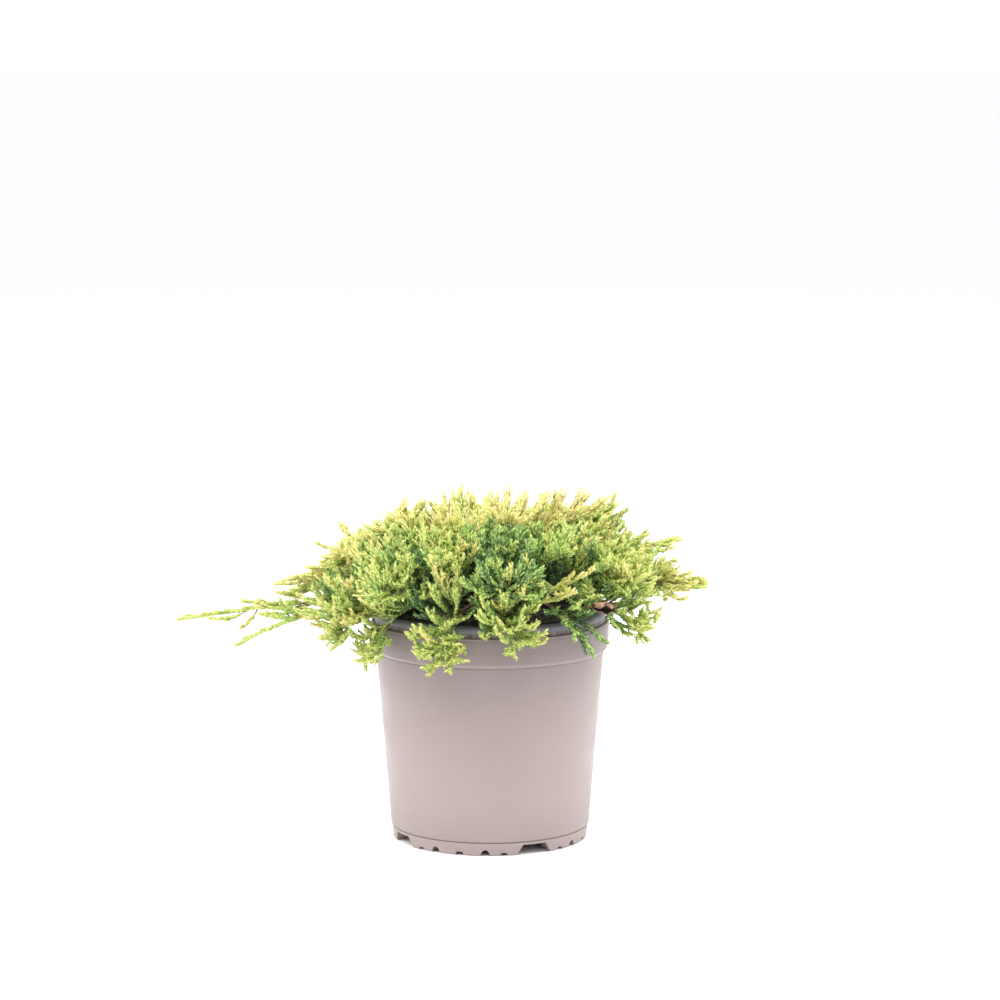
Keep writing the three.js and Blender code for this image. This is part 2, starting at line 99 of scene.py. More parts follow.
# The crown's outline: how high it reaches at each distance from the axis, how high and how low at each x
# seen from the front, how much lower it is for each millimetre behind the axis, and how far past a limb's
# tip its leaves go.
CROWN_ROUND = [(0, 268), (90, 266), (108, 256), (124, 244), (152, 226), (172, 206), (205, 192), (260, 184)]
CROWN_FRONT = [
    (-251, 178), (-225, 181), (-205, 184), (-186, 190), (-170, 199), (-150, 207), (-140, 214), (-131, 229),
    (-118, 242), (-99, 248), (-88, 254), (-76, 264), (0, 267), (98, 266), (106, 256), (116, 244), (152, 222),
    (160, 214), (175, 207),
]
CROWN_FOOT = [
    (-251, 172), (-205, 166), (-196, 156), (-185, 171), (-150, 177), (-132, 172), (-118, 160), (-92, 150),
    (-83, 184), (-64, 184), (-58, 160), (-30, 152), (-12, 164), (0, 170), (46, 172), (54, 186), (102, 186),
    (108, 166), (120, 166), (128, 176), (150, 190), (175, 198),
]
BACK_FALL = 0.12
REACH_MARGIN = 8

# Each tier of limbs: the heights of its rings on the trunk, the share of a limb before its foliage, how far
# out and how high the pull of its first part is, how far its foliage may hang below its tip, how much its
# side shoots turn upwards, and how they branch.
TIERS = {
    "low": {"rings": [176.5, 181.5, 186.5], "entry": 0.27, "out": 0.36, "knee": 203, "droop": 24, "lift": 0.3,
            "habit": "bushy"},
    "mid": {"rings": [191.2, 195.4, 199.6], "entry": 0.25, "out": 0.3, "knee": 222, "droop": 14, "lift": 0.55,
            "habit": "bushy"},
    "top": {"rings": [203.6], "entry": 0.0, "out": 0.2, "knee": 230, "droop": 40, "lift": 1.1,
            "habit": "brush"},
}

# One limb a row: tier, azimuth of its tip, distance of that from the axis, its height, the arch above the
# tip, the turn on its way, how golden its sprays are from 0 to 1, and the piece that it goes into.
LIMBS = {
    "runner_left": ("low", 180, 250, 175, 4, 4, 0.62, "left"),
    "runner_fore": ("low", 197, 205, 165, 22, 3, 0.56, "left"),
    "skirt_left": ("low", 206, 142, 164, 38, -2, 0.62, "left"),
    "hang_left": ("low", 217, 122, 150, 58, -4, 0.6, "left"),
    "hang_fore": ("low", 249, 122, 153, 54, -9, 0.58, "fore"),
    "lip_fore": ("low", 279, 122, 168, 42, 5, 0.54, "fore"),
    "hang_right": ("low", 309, 119, 163, 46, 4, 0.16, "fore"),
    "skirt_right": ("low", 339, 132, 165, 40, 3, 0.58, "fore"),
    "runner_right": ("low", 5, 174, 204, 4, -3, 0.7, "fore"),
    "skirt_back_right": ("low", 40, 150, 182, 28, 6, 0.46, "back"),
    "skirt_back": ("low", 87, 146, 179, 30, -6, 0.5, "back"),
    "skirt_back_left": ("low", 134, 160, 180, 28, 5, 0.52, "back"),
    "mid_left": ("mid", 173, 172, 201, 14, 3, 0.7, "mid_left"),
    "mid_high_left": ("mid", 194, 136, 230, 4, 4, 0.7, "mid_left"),
    "mid_low_fore": ("mid", 229, 128, 208, 14, 0, 0.5, "mid_left"),
    "mid_fore_left": ("mid", 252, 120, 238, -4, 4, 0.6, "mid_fore"),
    "mid_fore": ("mid", 277, 124, 216, 8, 4, 0.3, "mid_fore"),
    "mid_fore_right": ("mid", 301, 118, 244, -10, 5, 0.5, "mid_fore"),
    "mid_right": ("mid", 330, 132, 216, 6, -4, 0.6, "mid_right"),
    "mid_high_right": ("mid", 4, 151, 240, -8, 4, 0.68, "mid_right"),
    "mid_back_right": ("mid", 48, 136, 238, -4, -4, 0.52, "mid_back"),
    "mid_back": ("mid", 92, 130, 240, -4, 5, 0.56, "mid_back"),
    "mid_back_left": ("mid", 136, 134, 234, -4, -4, 0.54, "mid_back"),
    "top_left": ("top", 186, 102, 253, -8, -5, 0.76, "top_left"),
    "top_fore_left": ("top", 236, 72, 269, -20, 0, 0.8, "top_left"),
    "top_fore": ("top", 288, 62, 269, -20, 0, 0.82, "top_right"),
    "top_middle": ("top", 172, 46, 266, -22, 14, 0.78, "top_left"),
    "top_right": ("top", 340, 76, 269, -20, 4, 0.84, "top_right"),
    "top_far_right": ("top", 17, 109, 265, -20, -4, 0.68, "top_right"),
    "top_back": ("top", 93, 80, 258, -18, 0, 0.72, "top_right"),
}

# The long thin limbs, which carry only small lumps of leaves on their last part, and the share of their way
# by which their own leaves start later.
RUNNERS = {"runner_left", "runner_fore"}
RUNNER_LEAD_BARE = 0.12

# Limbs that carry no foliage before this share of their way, in place of their tier's.
BARE = {"runner_left": 0.42, "runner_fore": 0.4, "hang_fore": 0.56, "lip_fore": 0.46, "hang_right": 0.78}

# Side shoots of a limb: how far apart, how long near the trunk and near the tip, how many ways each may go
# at how many shares of its length, how wide it opens and how much it turns up, and how far past the crown's
# outline it may go. Of those ways it takes the one with the most room round its tip, up to a limit, where a
# longer one counts for more and one that ends inside the crown for less.
SIDE_APART = {"low": 3.5, "mid": 2.9, "top": 2.2}
SIDE_LENGTH = (52, 28)
LENGTH_SPREAD = (0.8, 1.15)
SIDE_TRIES = 26
SIDE_SCALES = (1, 0.8, 0.62, 0.46, 0.34)
SIDE_OPENING = (24, 72)
SIDE_RISE = 0.3
SIDE_SLACK = (-8, 3)
SIDE_END = 0.97
RUNNER_SIDE_END = 0.74
TIP_SPACING = 20
LENGTH_WORTH = 0.3
BURIED_COST = 0.6

# How far its side shoots may stand from the middle plane of a limb, by tier, and of these limbs by name.
TUFT_HALF_WIDTH = {"low": 26, "mid": 29, "top": 24}
LIMB_HALF_WIDTHS = {"hang_fore": 15, "hang_left": 17, "hang_right": 12, "lip_fore": 22}

# The limbs at the back stand further apart, so their side shoots reach wider and are closer and longer.
BACK_HALF_WIDTH = 60
BACK_SHOOTS = 1.1
BACK_LENGTH = 1.5

# How much the flat of a side shoot's spray is turned up from facing outwards, how far a spray and a finger
# may reach past the tip of their parent, and how much the gold varies from one side shoot and from one
# branch to the next.
FACE_LIFT = {"low": 1.6, "mid": 0.8, "top": 0.5}
OVERSHOOT = (8, 4)
SIDE_GOLD_SPREAD = 0.24
BRANCH_GOLD_SPREAD = 0.09

# The dark gaps between the clusters: each a place and its half width. They reach GAP_DEPTH times as deep
# into the crown, and only shoots more golden than GAP_GOLD keep out of them.
DARK_GAPS = np.array([
    (-2, -88, 239, 5), (1, -94, 227, 6), (16, -98, 221, 6.5), (-2, -98, 214, 6), (53, -88, 232, 9),
    (46, -94, 225, 7), (-21, -100, 203, 9), (-31, -98, 207, 6), (51, -98, 198, 7), (-70, -90, 196, 6),
    (-61, -50, 250, 3.5), (-22, -88, 239, 5),
], float)
GAP_DEPTH = 5
GAP_GOLD = 0.38

# Shoots of the dark inside of the crown, on each limb: how many, how long, how golden, the share of the
# limb that they end at, how far they stay within its reach and its lowest height, and the height that none
# goes below.
INNER_SHOOTS = 13
INNER_LENGTH = (34, 24)
INNER_GOLD = (0.16, 0.4)
INNER_END = 0.74
INNER_MARGIN = (14, 6)
INNER_FLOOR = 192

# How each kind of foliage branches, for the sprays on its side shoots and then for the fingers on its
# sprays: how far apart they stand, the least and most that they open by in degrees, their length near the
# foot and near the tip, and how much they turn up.
HABITS = {
    "brush": ((4.2, 8, 19, 28, 18, 0.05), (6.0, 10, 17, 12, 8, 0.05)),
    "bushy": ((4.8, 18, 36, 17, 10, 0.3), (2.8, 22, 36, 6.8, 5.2, 0.22)),
    "fern": ((6.4, 20, 34, 18, 9, 0.12), (3.0, 20, 30, 6.5, 4.5, 0.1)),
    "runner": ((7.0, 12, 22, 11, 8, 0.05), (2.9, 16, 27, 4.8, 3.8, 0.05)),
    "rope": ((4.5, 12, 24, 8, 5, -0.1), (3.2, 16, 26, 3.6, 3, -0.05)),
}
HABIT_NAMES = list(HABITS)
HABIT_RULES = np.array([HABITS[name] for name in HABIT_NAMES], float)
LIMB_HABITS = {"runner_left": "runner", "runner_fore": "runner", "runner_right": "fern",
               "mid_high_right": "fern", "skirt_right": "fern", "hang_right": "fern"}

# Side shoots that the photograph shows apart from the rest, in lots that share a limb and a habit: the
# share of the limb where each leaves it, the x, y and z of its tip, and how golden it is. All may go as far
# as MARKED_SLACK past the crown's outline. Each draws its chances by its number, so their order stays.
MARKED_SHOOTS = [
    ("mid_left", "runner", (0.6, -169, -10, 205, 0.76), (0.5, -153, -6, 211, 0.72),
     (0.55, -160, 24, 204, 0.7)),
    ("mid_high_left", "runner", (0.62, -147, 0, 217, 0.74), (0.6, -135, -2, 235, 0.8)),
    ("mid_high_left", "fern", (0.6, -120, 0, 249, 0.78)),
    ("runner_left", "runner", (0.5, -196, 5, 189, 0.66), (0.4, -168, 4, 196, 0.64),
     (0.48, -176, -24, 182, 0.58)),
    ("skirt_left", "fern", (0.6, -150, -44, 184, 0.72), (0.7, -134, -46, 176, 0.66),
     (0.78, -118, -68, 166, 0.6)),
    ("hang_left", "bushy", (0.74, -88, -96, 156, 0.54)),
    ("hang_fore", "bushy", (0.74, -60, -112, 179, 0.58), (0.8, -29, -118, 156, 0.54),
     (0.7, -47, -118, 166, 0.52)),
    ("top_left", "brush", (0.8, -72, -4, 263, 0.84), (0.68, -58, -10, 262, 0.7)),
    ("top_fore_left", "brush", (0.6, -34, -16, 268, 0.84), (0.5, -24, -12, 271, 0.6)),
    ("top_fore", "brush", (0.5, 4, -8, 270, 0.8), (0.56, 14, -8, 271, 0.84), (0.62, 26, -20, 268, 0.86),
     (0.7, 39, -24, 269, 0.8)),
    ("top_right", "brush", (0.5, 54, -18, 271, 0.84), (0.62, 70, -14, 270, 0.86), (0.74, 85, -16, 268, 0.84)),
    ("top_middle", "brush", (0.6, -30, 28, 262, 0.7)),
    ("top_back", "brush", (0.4, -16, 42, 260, 0.72), (0.45, 22, 48, 259, 0.7)),
    ("top_far_right", "brush", (0.4, 44, 34, 262, 0.7)),
    ("mid_back", "bushy", (0.42, -4, 76, 252, 0.6), (0.55, 30, 98, 248, 0.6), (0.55, -34, 98, 246, 0.56)),
    ("mid_back_right", "bushy", (0.36, 36, 62, 250, 0.58), (0.48, 66, 64, 250, 0.6)),
    ("top_middle", "bushy", (0.1, -8, -4, 245, 0.5)),
    ("top_fore", "bushy", (0.16, 6, -10, 246, 0.52)),
    ("top_right", "bushy", (0.18, 26, 10, 247, 0.54)),
    ("top_fore", "bushy", (0.3, 20, -28, 248, 0.56)),
    ("top_right", "bushy", (0.3, 42, -26, 249, 0.56)),
    ("top_back", "bushy", (0.1, -4, 16, 246, 0.5), (0.2, 12, 32, 248, 0.56), (0.3, -2, 48, 250, 0.56)),
    ("top_middle", "bushy", (0.15, -16, 16, 244, 0.5)),
    ("top_far_right", "bushy", (0.15, 18, 12, 246, 0.5), (0.25, 36, 20, 250, 0.56)),
    ("mid_back", "bushy", (0.26, -12, 50, 238, 0.46), (0.3, 16, 62, 240, 0.5)),
    ("mid_back_right", "bushy", (0.25, 30, 38, 240, 0.46)),
    ("mid_back_left", "bushy", (0.25, -32, 38, 238, 0.46)),
    ("skirt_back_right", "fern", (0.28, 33, 54, 197, 0.26), (0.34, 46, 30, 208, 0.26)),
    ("skirt_back", "fern", (0.3, 16, 62, 198, 0.26)),
    ("skirt_back_right", "fern", (0.3, 30, 44, 222, 0.26)),
    ("skirt_back", "fern", (0.34, 4, 58, 216, 0.26)),
    ("skirt_back_left", "fern", (0.34, -44, 40, 216, 0.26)),
    ("lip_fore", "bushy", (0.42, 36, -58, 206, 0.3)),
    ("mid_right", "bushy", (0.32, 42, -50, 210, 0.3)),
    ("mid_fore_right", "bushy", (0.3, 32, -50, 220, 0.3)),
    ("mid_back_left", "bushy", (0.38, -40, 62, 248, 0.6), (0.5, -66, 68, 246, 0.58)),
    ("top_far_right", "fern", (0.72, 99, 8, 268, 0.62), (0.84, 106, 2, 258, 0.6)),
    ("mid_high_right", "fern", (0.74, 147, 10, 237, 0.66), (0.62, 122, -6, 243, 0.64),
     (0.8, 139, -6, 231, 0.62)),
    ("runner_right", "fern", (0.66, 151, -30, 195, 0.72), (0.6, 139, -12, 221, 0.66)),
    ("skirt_right", "fern", (0.72, 122, -50, 174, 0.55), (0.66, 109, -61, 171, 0.5)),
    ("mid_fore_right", "bushy", (0.55, 42, -116, 220, 0.56), (0.5, 60, -112, 211, 0.62)),
    ("mid_right", "bushy", (0.5, 80, -98, 208, 0.54), (0.62, 92, -90, 233, 0.48), (0.6, 103, -84, 216, 0.54),
     (0.46, 70, -104, 200, 0.44)),
    ("lip_fore", "bushy", (0.55, 27, -124, 216, 0.6)),
    ("hang_right", "rope", (0.74, 80, -105, 166, 0.2), (0.66, 66, -108, 180, 0.28), (0.7, 89, -97, 173, 0.18),
     (0.62, 58, -109, 189, 0.26)),
    ("skirt_right", "rope", (0.58, 97, -84, 184, 0.3)),
    ("hang_right", "fern", (0.56, 52, -100, 196, 0.3), (0.6, 76, -92, 196, 0.3)),
    ("lip_fore", "fern", (0.5, 81, -108, 232, 0.72), (0.52, 64, -114, 214, 0.66)),
]
MARKED_SLACK = 30
MARKED_SEED = 5000

# Dark shoots that close the last chinks in the crown, as seen from the front, given in the same way.
SHADE_SHOOTS = [
    ("mid_right", "bushy", (0.3, 47, -22, 214, 0.3), (0.25, 50, -10, 208, 0.3), (0.4, 71, -20, 206, 0.3)),
    ("skirt_right", "bushy", (0.45, 98, -28, 204, 0.3), (0.4, 106, -20, 199, 0.3)),
]
SHADE_SEED = 6000

# The dried leaf: where its roll starts and ends, how thick that is, and where its twig leaves which limb.
DEAD_LEAF = np.array([(80, -101, 202), (97, -95, 199)], float)
DEAD_LEAF_ROLL = 3.9
DEAD_LEAF_TWIG = ("hang_right", 0.74)

# One scale leaf: the steps between pairs, its length and width, how deep its ridge is, the angles that it
# opens by at the foot and at the tip of a shoot, and how far its root stands from the shoot's middle.
LEAVES_APART = 1.75
LEAF_LENGTH = 3.4
LEAF_WIDTH = 1.9
LEAF_FOLD = 0.35
LEAF_OPENING = (12, -12)
LEAF_ROOT = 1.3
LEAF_FACES = np.array([(0, 1, 3), (0, 3, 2), (0, 2, 1), (1, 2, 3)])

# Each order of shoot: the share of it that bears no leaves, how much more golden these get towards its tip,
# the sides and steps of its core, the share of it where that starts, and how thin that is at the tip.
ORDERS = {
    "sides": (0.35, 0.26, 5, 5, 0.33, 0.25),
    "leads": (0.0, 0.1, 5, 4, 0.0, 0.8),
    "sprays": (0.08, 0.16, 4, 2, 0.0, 0.25),
    "fingers": (0.0, 0.08, 4, 1, 0.0, 0.25),
}
CORE_RADIUS = 1.55
CORE_PIECES = {"shoots_long": ("sides", "leads", "sprays"), "shoots_short": ("fingers",)}

# How the leaves get their tones: the place that the crown faces away from, how much their normals lean away
# from it, how much lighter a leaf is on its shoot's side away from it (partly the gold of sunlit growth,
# partly painted light), how far from the axis the painted shade inside the crown starts, how deep and how
# wide it is, how much it darkens, and how much the tone varies by chance.
CROWN_HEART = np.array([0.0, 0.0, 150.0])
NORMAL_LEAN = 0.48
SUNNY_SIDE = 0.15
SHADE_REACH = 128
SHADE_DEPTH = 70
SHADE_WIDTH = 90
SHADE_DARKENING = 0.52
TONE_SPREAD = 0.04

# The colours that the foliage has, from deep shade to the palest tips.
TONES = {
    "deep": (0.075, 0.135, 0.055),
    "dark": (0.145, 0.245, 0.085),
    "green": (0.24, 0.37, 0.105),
    "fresh": (0.36, 0.485, 0.125),
    "lime": (0.465, 0.555, 0.15),
    "yellow": (0.56, 0.57, 0.175),
    "gold": (0.635, 0.575, 0.195),
    "pale": (0.675, 0.61, 0.275),
}

# The camera stands where the photograph was taken. Each light has its place in metres, its size and power.
CAMERA_PLACE = np.array([8, -2755.6, 643.6])
CAMERA_DOWN = 7.7
FOCAL_LENGTH = 126
SENSOR_WIDTH = 36
ROOM_LIGHT = 1.05
LIGHTS_AIM = Vector((AXIS[0], AXIS[1], 0.18))
LIGHTS = {
    "top": ((AXIS[0] - 0.2, AXIS[1] - 0.7, 1.8), (1.6, 1.6), 34),
    "back": ((AXIS[0] + 0.3, AXIS[1] + 1.3, 1.6), (1.4, 1.4), 13),
    "left": ((-1.7, 0.1, 0.9), (1.2, 1.6), 24),
    "right": ((1.7, 0.2, 0.9), (1.2, 1.6), 24),
}


# Small sums.
def mix(a, b, share):
    return a + (b - a) * share


def dice(a, b):
    """A repeatable number from 0 to 1 for each pair of numbers, by the rule that the solids follow. The whole
    numbers that its callers add only keep their draws apart."""
    s = np.sin(np.asarray(a) * 12.9898 + np.asarray(b) * 78.233) * 43758.5453
    return s - np.floor(s)


def unit(v):
    return v / np.maximum(np.linalg.norm(v, axis=-1, keepdims=True), 1e-9)


def square_to(v, along):
    """What is left of a vector square to a line, as a unit vector."""
    return unit(v - along * (v * along).sum(-1, keepdims=True))


def upward(v):
    return -v if v[2] < 0 else v


def opened(along, side, rise, roll, opening):
    """Lines that leave another at an angle, rolled round it from its side towards its upper side."""
    return (along * np.cos(opening)[:, None] + side * (np.cos(roll) * np.sin(opening))[:, None]
            + rise * (np.sin(roll) * np.sin(opening))[:, None])


def polar(azimuth, radius, height):
    a = math.radians(azimuth)
    return np.array([radius * math.cos(a), radius * math.sin(a), height], float)


def from_axis(points):
    return np.hypot(points[..., 0], points[..., 1])


# Limbs, by the same rule as the solids.
def trunk_point(height):
    share = (height - SOIL_TOP - GAP) / (TRUNK_TOP - SOIL_TOP - GAP)
    return np.array([-TRUNK_LEAN * share, TRUNK_LEAN * share, height])


def trunk_radius(height):
    share = (height - SOIL_TOP) / (TRUNK_TOP - SOIL_TOP)
    flare = max(0.0, 1 - share * 3.2) ** 2
    return TRUNK_RADIUS * mix(1, 0.72, share) + (TRUNK_FLARE - TRUNK_RADIUS) * flare


class Limb:
    """A limb's line from the trunk's bark to its furthest tip, with what its foliage needs to know."""

    def __init__(self, number, name):
        self.number = number
        self.name = name
        self.tier, self.azimuth, self.reach, self.height, arch, turn, self.gold, self.piece = LIMBS[name]
        rule = TIERS[self.tier]
        self.entry = rule["entry"]
        self.leafy = BARE.get(name, max(self.entry - 0.03, 0.2))
        self.habit = HABIT_NAMES.index(LIMB_HABITS.get(name, rule["habit"]))
        self.lift = rule["lift"]
        self.lowest = self.height - rule["droop"]
        behind = 20 < self.azimuth < 160
        closer = BACK_SHOOTS if behind else 1
        sparser = 2 if name in RUNNERS else 1
        widest = LIMB_HALF_WIDTHS.get(name, TUFT_HALF_WIDTH[self.tier])
        self.half_width = BACK_HALF_WIDTH if behind else widest
        self.side_apart = SIDE_APART[self.tier] / closer * sparser
        self.side_length = BACK_LENGTH if behind else 1
        self.side_end = RUNNER_SIDE_END if name in RUNNERS else SIDE_END
        self.pulls = self.line(rule, arch, turn)
        self.across = polar(self.azimuth - turn + 90, 1, 0)
        chords = np.diff(self.points(np.linspace(0, 1, 61)), axis=0)
        self.length = float(np.linalg.norm(chords, axis=1).sum())

    def line(self, rule, arch, turn):
        """The four points that its curve follows, from the trunk's bark over the knee to the tip."""
        ring = rule["rings"][self.number % len(rule["rings"])]
        butt = BOUGH_END if self.tier == "top" else BOUGH_BUTT
        foot = trunk_point(ring)
        knee = polar(self.azimuth - turn * 1.6, TRUNK_RADIUS + self.reach * rule["out"], rule["knee"])
        leaving = self.azimuth - turn * 2
        steep = unit(knee - (foot + polar(leaving, trunk_radius(ring), 0)))[2]
        start = foot + polar(leaving, trunk_radius(ring) + GAP + butt * steep, 0)
        bend = polar(self.azimuth - turn * 0.4, self.reach * 0.82, self.height + arch)
        return np.array([start, knee, bend, polar(self.azimuth, self.reach, self.height)])

    def points(self, t):
        t = np.asarray(t, float)[..., None]
        p = self.pulls
        return p[0] * (1 - t) ** 3 + p[1] * 3 * t * (1 - t) ** 2 + p[2] * 3 * t * t * (1 - t) + p[3] * t ** 3

    def along(self, t):
        t = np.asarray(t, float)[..., None]
        d = np.diff(self.pulls, axis=0)
        return unit(d[0] * (1 - t) ** 2 + d[1] * 2 * t * (1 - t) + d[2] * t * t)

    def sides(self, along):
        """The ways to its left and to its upper side, square to its line."""
        side = unit(self.across - along * (self.across @ along))
        return side, upward(np.cross(along, side))


limbs = [Limb(number, name) for number, name in enumerate(LIMBS)]
limb_named = {limb.name: limb for limb in limbs}
REACH = np.array([limb.reach for limb in limbs], float)
LOWEST = np.array([limb.lowest for limb in limbs], float)


# The crown's space.
def height_on(outline, place):
    places, heights = zip(*outline)
    return np.interp(place, places, heights)


def ceiling(points):
    behind = np.maximum(points[..., 1], 0) * BACK_FALL
    round_axis = height_on(CROWN_ROUND, from_axis(points))
    return np.minimum(round_axis, height_on(CROWN_FRONT, points[..., 0]) - behind)


def clear_of_pot(points):
    r = from_axis(points)
    z = points[..., 2]
    inside = (r < LIP_RADIUS - LIP_ROUND - 2) & (z > SOIL_TOP + 1)
    outside = (r > COLLAR_RADIUS + 1) | (z > LIP_TOP + 1)
    return inside | outside


def in_crown(points, reach, lowest, slack=0.0):
    """Whether points lie in the crown, with the reach and the lowest height of the limb of each."""
    x, z = points[..., 0], points[..., 2]
    near = from_axis(points) < reach + REACH_MARGIN + slack
    near &= (x > CROWN_FRONT[0][0]) & (x < CROWN_FRONT[-1][0])
    floor = np.maximum(lowest, height_on(CROWN_FOOT, x)) - slack
    return near & clear_of_pot(points) & (z > floor) & (z < ceiling(points) + slack)


class Axes:
    """Many slightly bent shoots as arrays: where each starts and aims, how it curls, the normal of its spray,
    its length, its limb and habit, how far past the outline it may go, how golden it is, and its seed."""

    FIELDS = ("start", "aim", "curl", "face", "length", "limb", "habit", "slack", "gold", "seed")

    def __init__(self, **fields):
        for name in self.FIELDS:
            setattr(self, name, np.asarray(fields[name]))

    def __len__(self):
        return len(self.length)

    def pick(self, chosen):
        return Axes(**{name: getattr(self, name)[chosen] for name in self.FIELDS})

    def points(self, share):
        """The place of each at its own share of its length, or of all at one share."""
        share = np.broadcast_to(share, len(self))
        length = self.length[:, None]
        return self.start + self.aim * length * share[:, None] + self.curl * length * (share ** 2)[:, None]

    def frame(self, share):
        """The directions of each along itself, out of its spray's plane and to its side."""
        share = np.broadcast_to(share, len(self))
        along = unit(self.aim + 2 * self.curl * share[:, None])
        face = square_to(self.face, along)
        return along, face, np.cross(along, face)


def axes_of(rows):
    fields = dict(zip(Axes.FIELDS, zip(*rows)))
    return Axes(**{name: np.array(values, int if name in ("limb", "habit") else float)
                   for name, values in fields.items()})


def joined(groups):
    return Axes(**{name: np.concatenate([getattr(g, name) for g in groups]) for name in Axes.FIELDS})


# Side shoots, as rows of the fields above.
def side_aims(limb, j, along):
    """The ways that a side shoot may go, and the upper side of its limb there."""
    side, rise = limb.sides(along)
    draw = j * 31 + np.arange(SIDE_TRIES) * 7
    roll = 2 * math.pi * dice(limb.number + 1, draw + 1)
    opening = np.radians(mix(*SIDE_OPENING, dice(limb.number + 1, draw + 2)))
    return unit(opened(along, side, rise, roll, opening) + UP * limb.lift), rise


def side_shoots(limb, tips):
    """The side shoots of a limb, each of which goes where it has the most room."""
    count = int(limb.length * (limb.side_end - limb.leafy) / limb.side_apart)
    rows = []
    for j in range(count):
        share = (j + 0.3) / count
        t = mix(limb.leafy, limb.side_end, share)
        foot = limb.points(t)
        along = limb.along(t)
        spread_of_length = mix(*LENGTH_SPREAD, dice(j, limb.number + 40))
        longest = mix(*SIDE_LENGTH, share) * limb.side_length * spread_of_length
        aims, rise = side_aims(limb, j, along)
        slack = mix(*SIDE_SLACK, dice(j, limb.number + 60))
        found = roomiest_shoot(limb, foot, aims, longest, slack - 3, tips)
        if found is not None:
            aim, length = found
            curl = UP * SIDE_RISE + along * 0.12
            gold = limb.gold + SIDE_GOLD_SPREAD * (dice(j, limb.number + 90) - 0.5)
            outward = unit((foot + aim * length) * (1, 1, 0))
            face = unit(outward + mix(UP, rise, 0.3) * FACE_LIFT[limb.tier])
            rows.append((foot, aim, curl, face, length, limb.number, limb.habit, slack, gold,
                         limb.number * 100 + j))
            tips.append(foot + (aim + curl) * length)
    return rows


def roomiest_shoot(limb, foot, aims, longest, slack, tips):
    """The aim and length, of those that stay in the crown, whose tip has the most room."""
    lengths = np.tile(longest * np.array(SIDE_SCALES), len(aims))
    aims = np.repeat(aims, len(SIDE_SCALES), axis=0)
    fits = np.ones(len(aims), bool)
    for station in (0.3, 0.55, 0.8, 1.0):
        points = foot + (aims * station + UP * SIDE_RISE * station ** 2) * lengths[:, None]
        fits &= in_crown(points, limb.reach, limb.lowest, slack)
    aside = np.abs((points - foot) @ limb.across)
    fits &= aside < limb.half_width
    if not fits.any():
        return None
    ends = points[fits]
    room = np.full(len(ends), TIP_SPACING, float)
    if tips:
        apart = np.linalg.norm(ends[:, None] - np.array(tips)[None], axis=-1)
        room = np.minimum(room, apart.min(axis=1))
    buried = np.clip(np.minimum(ceiling(ends) - ends[:, 2], limb.reach - from_axis(ends)), 0, 30)
    best = np.argmax(room + LENGTH_WORTH * lengths[fits] - BURIED_COST * buried)
    return aims[fits][best], lengths[fits][best]


def marked_shoots(marks, first_seed, tips):
    """The side shoots that are placed one by one."""
    rows = []
    for name, habit, *shoots in marks:
        limb = limb_named[name]
        curl = UP * (-0.3 if habit == "rope" else SIDE_RISE * 0.6)
        for t, x, y, z, gold in shoots:
            tip = np.array([x, y, z], float)
            foot = limb.points(t)
            length = float(np.linalg.norm(tip - foot))
            rise = limb.sides(limb.along(t))[1]
            rows.append((foot, (tip - foot) / length - curl, curl, rise, length, limb.number,
                         HABIT_NAMES.index(habit), MARKED_SLACK, gold, first_seed + len(rows)))
            tips.append(tip)
    return rows


def inner_shoots():
    """Short dark shoots in the shade of each limb, which close the crown against the sky behind."""
    rows = []
    for limb in limbs:
        reach = limb.reach - INNER_MARGIN[0]
        lowest = max(limb.lowest + INNER_MARGIN[1], INNER_FLOOR)
        for j in range(INNER_SHOOTS):
            share = (j + dice(j, limb.number + 7)) / INNER_SHOOTS
            t = mix(max(limb.leafy, 0.2), INNER_END, share)
            foot = limb.points(t)
            aims, rise = side_aims(limb, j + 400, limb.along(t))
            length = mix(*INNER_LENGTH, dice(j, limb.number + 8))
            tips = foot + (aims + UP * SIDE_RISE) * length
            fitting = aims[in_crown(tips, reach, lowest, -10)]
            if len(fitting):
                gold = mix(*INNER_GOLD, dice(j, limb.number + 9))
                rows.append((foot, fitting[0], UP * SIDE_RISE, rise, length, limb.number,
                             HABIT_NAMES.index("fern"), 0, gold, limb.number * 100 + j + 0.5))
    return rows


def leaders():
    """The leafy ends of the limbs themselves, each as three bent shoots."""
    rows = []
    for limb in limbs:
        bare = RUNNER_LEAD_BARE if limb.habit == HABIT_NAMES.index("runner") else 0
        ends = np.linspace(max(limb.leafy, 0.3) + bare, 1, 4)
        for first, last in zip(ends, ends[1:]):
            start, middle, end = limb.points([first, (first + last) / 2, last])
            chord = end - start
            length = float(np.linalg.norm(chord))
            curl = (2 * start + 2 * end - 4 * middle) / length
            rise = upward(np.cross(unit(chord), limb.across))
            rows.append((start, chord / length - curl, curl, rise, length, limb.number, limb.habit, 6,
                         limb.gold, limb.number * 100 + 97 + first))
    return rows


# Sprays and fingers.
def repeats(counts):
    """The owner of each of many repeats, and its number among that owner's."""
    owner = np.repeat(np.arange(len(counts)), counts)
    return owner, np.arange(len(owner)) - np.repeat(np.cumsum(counts) - counts, counts)


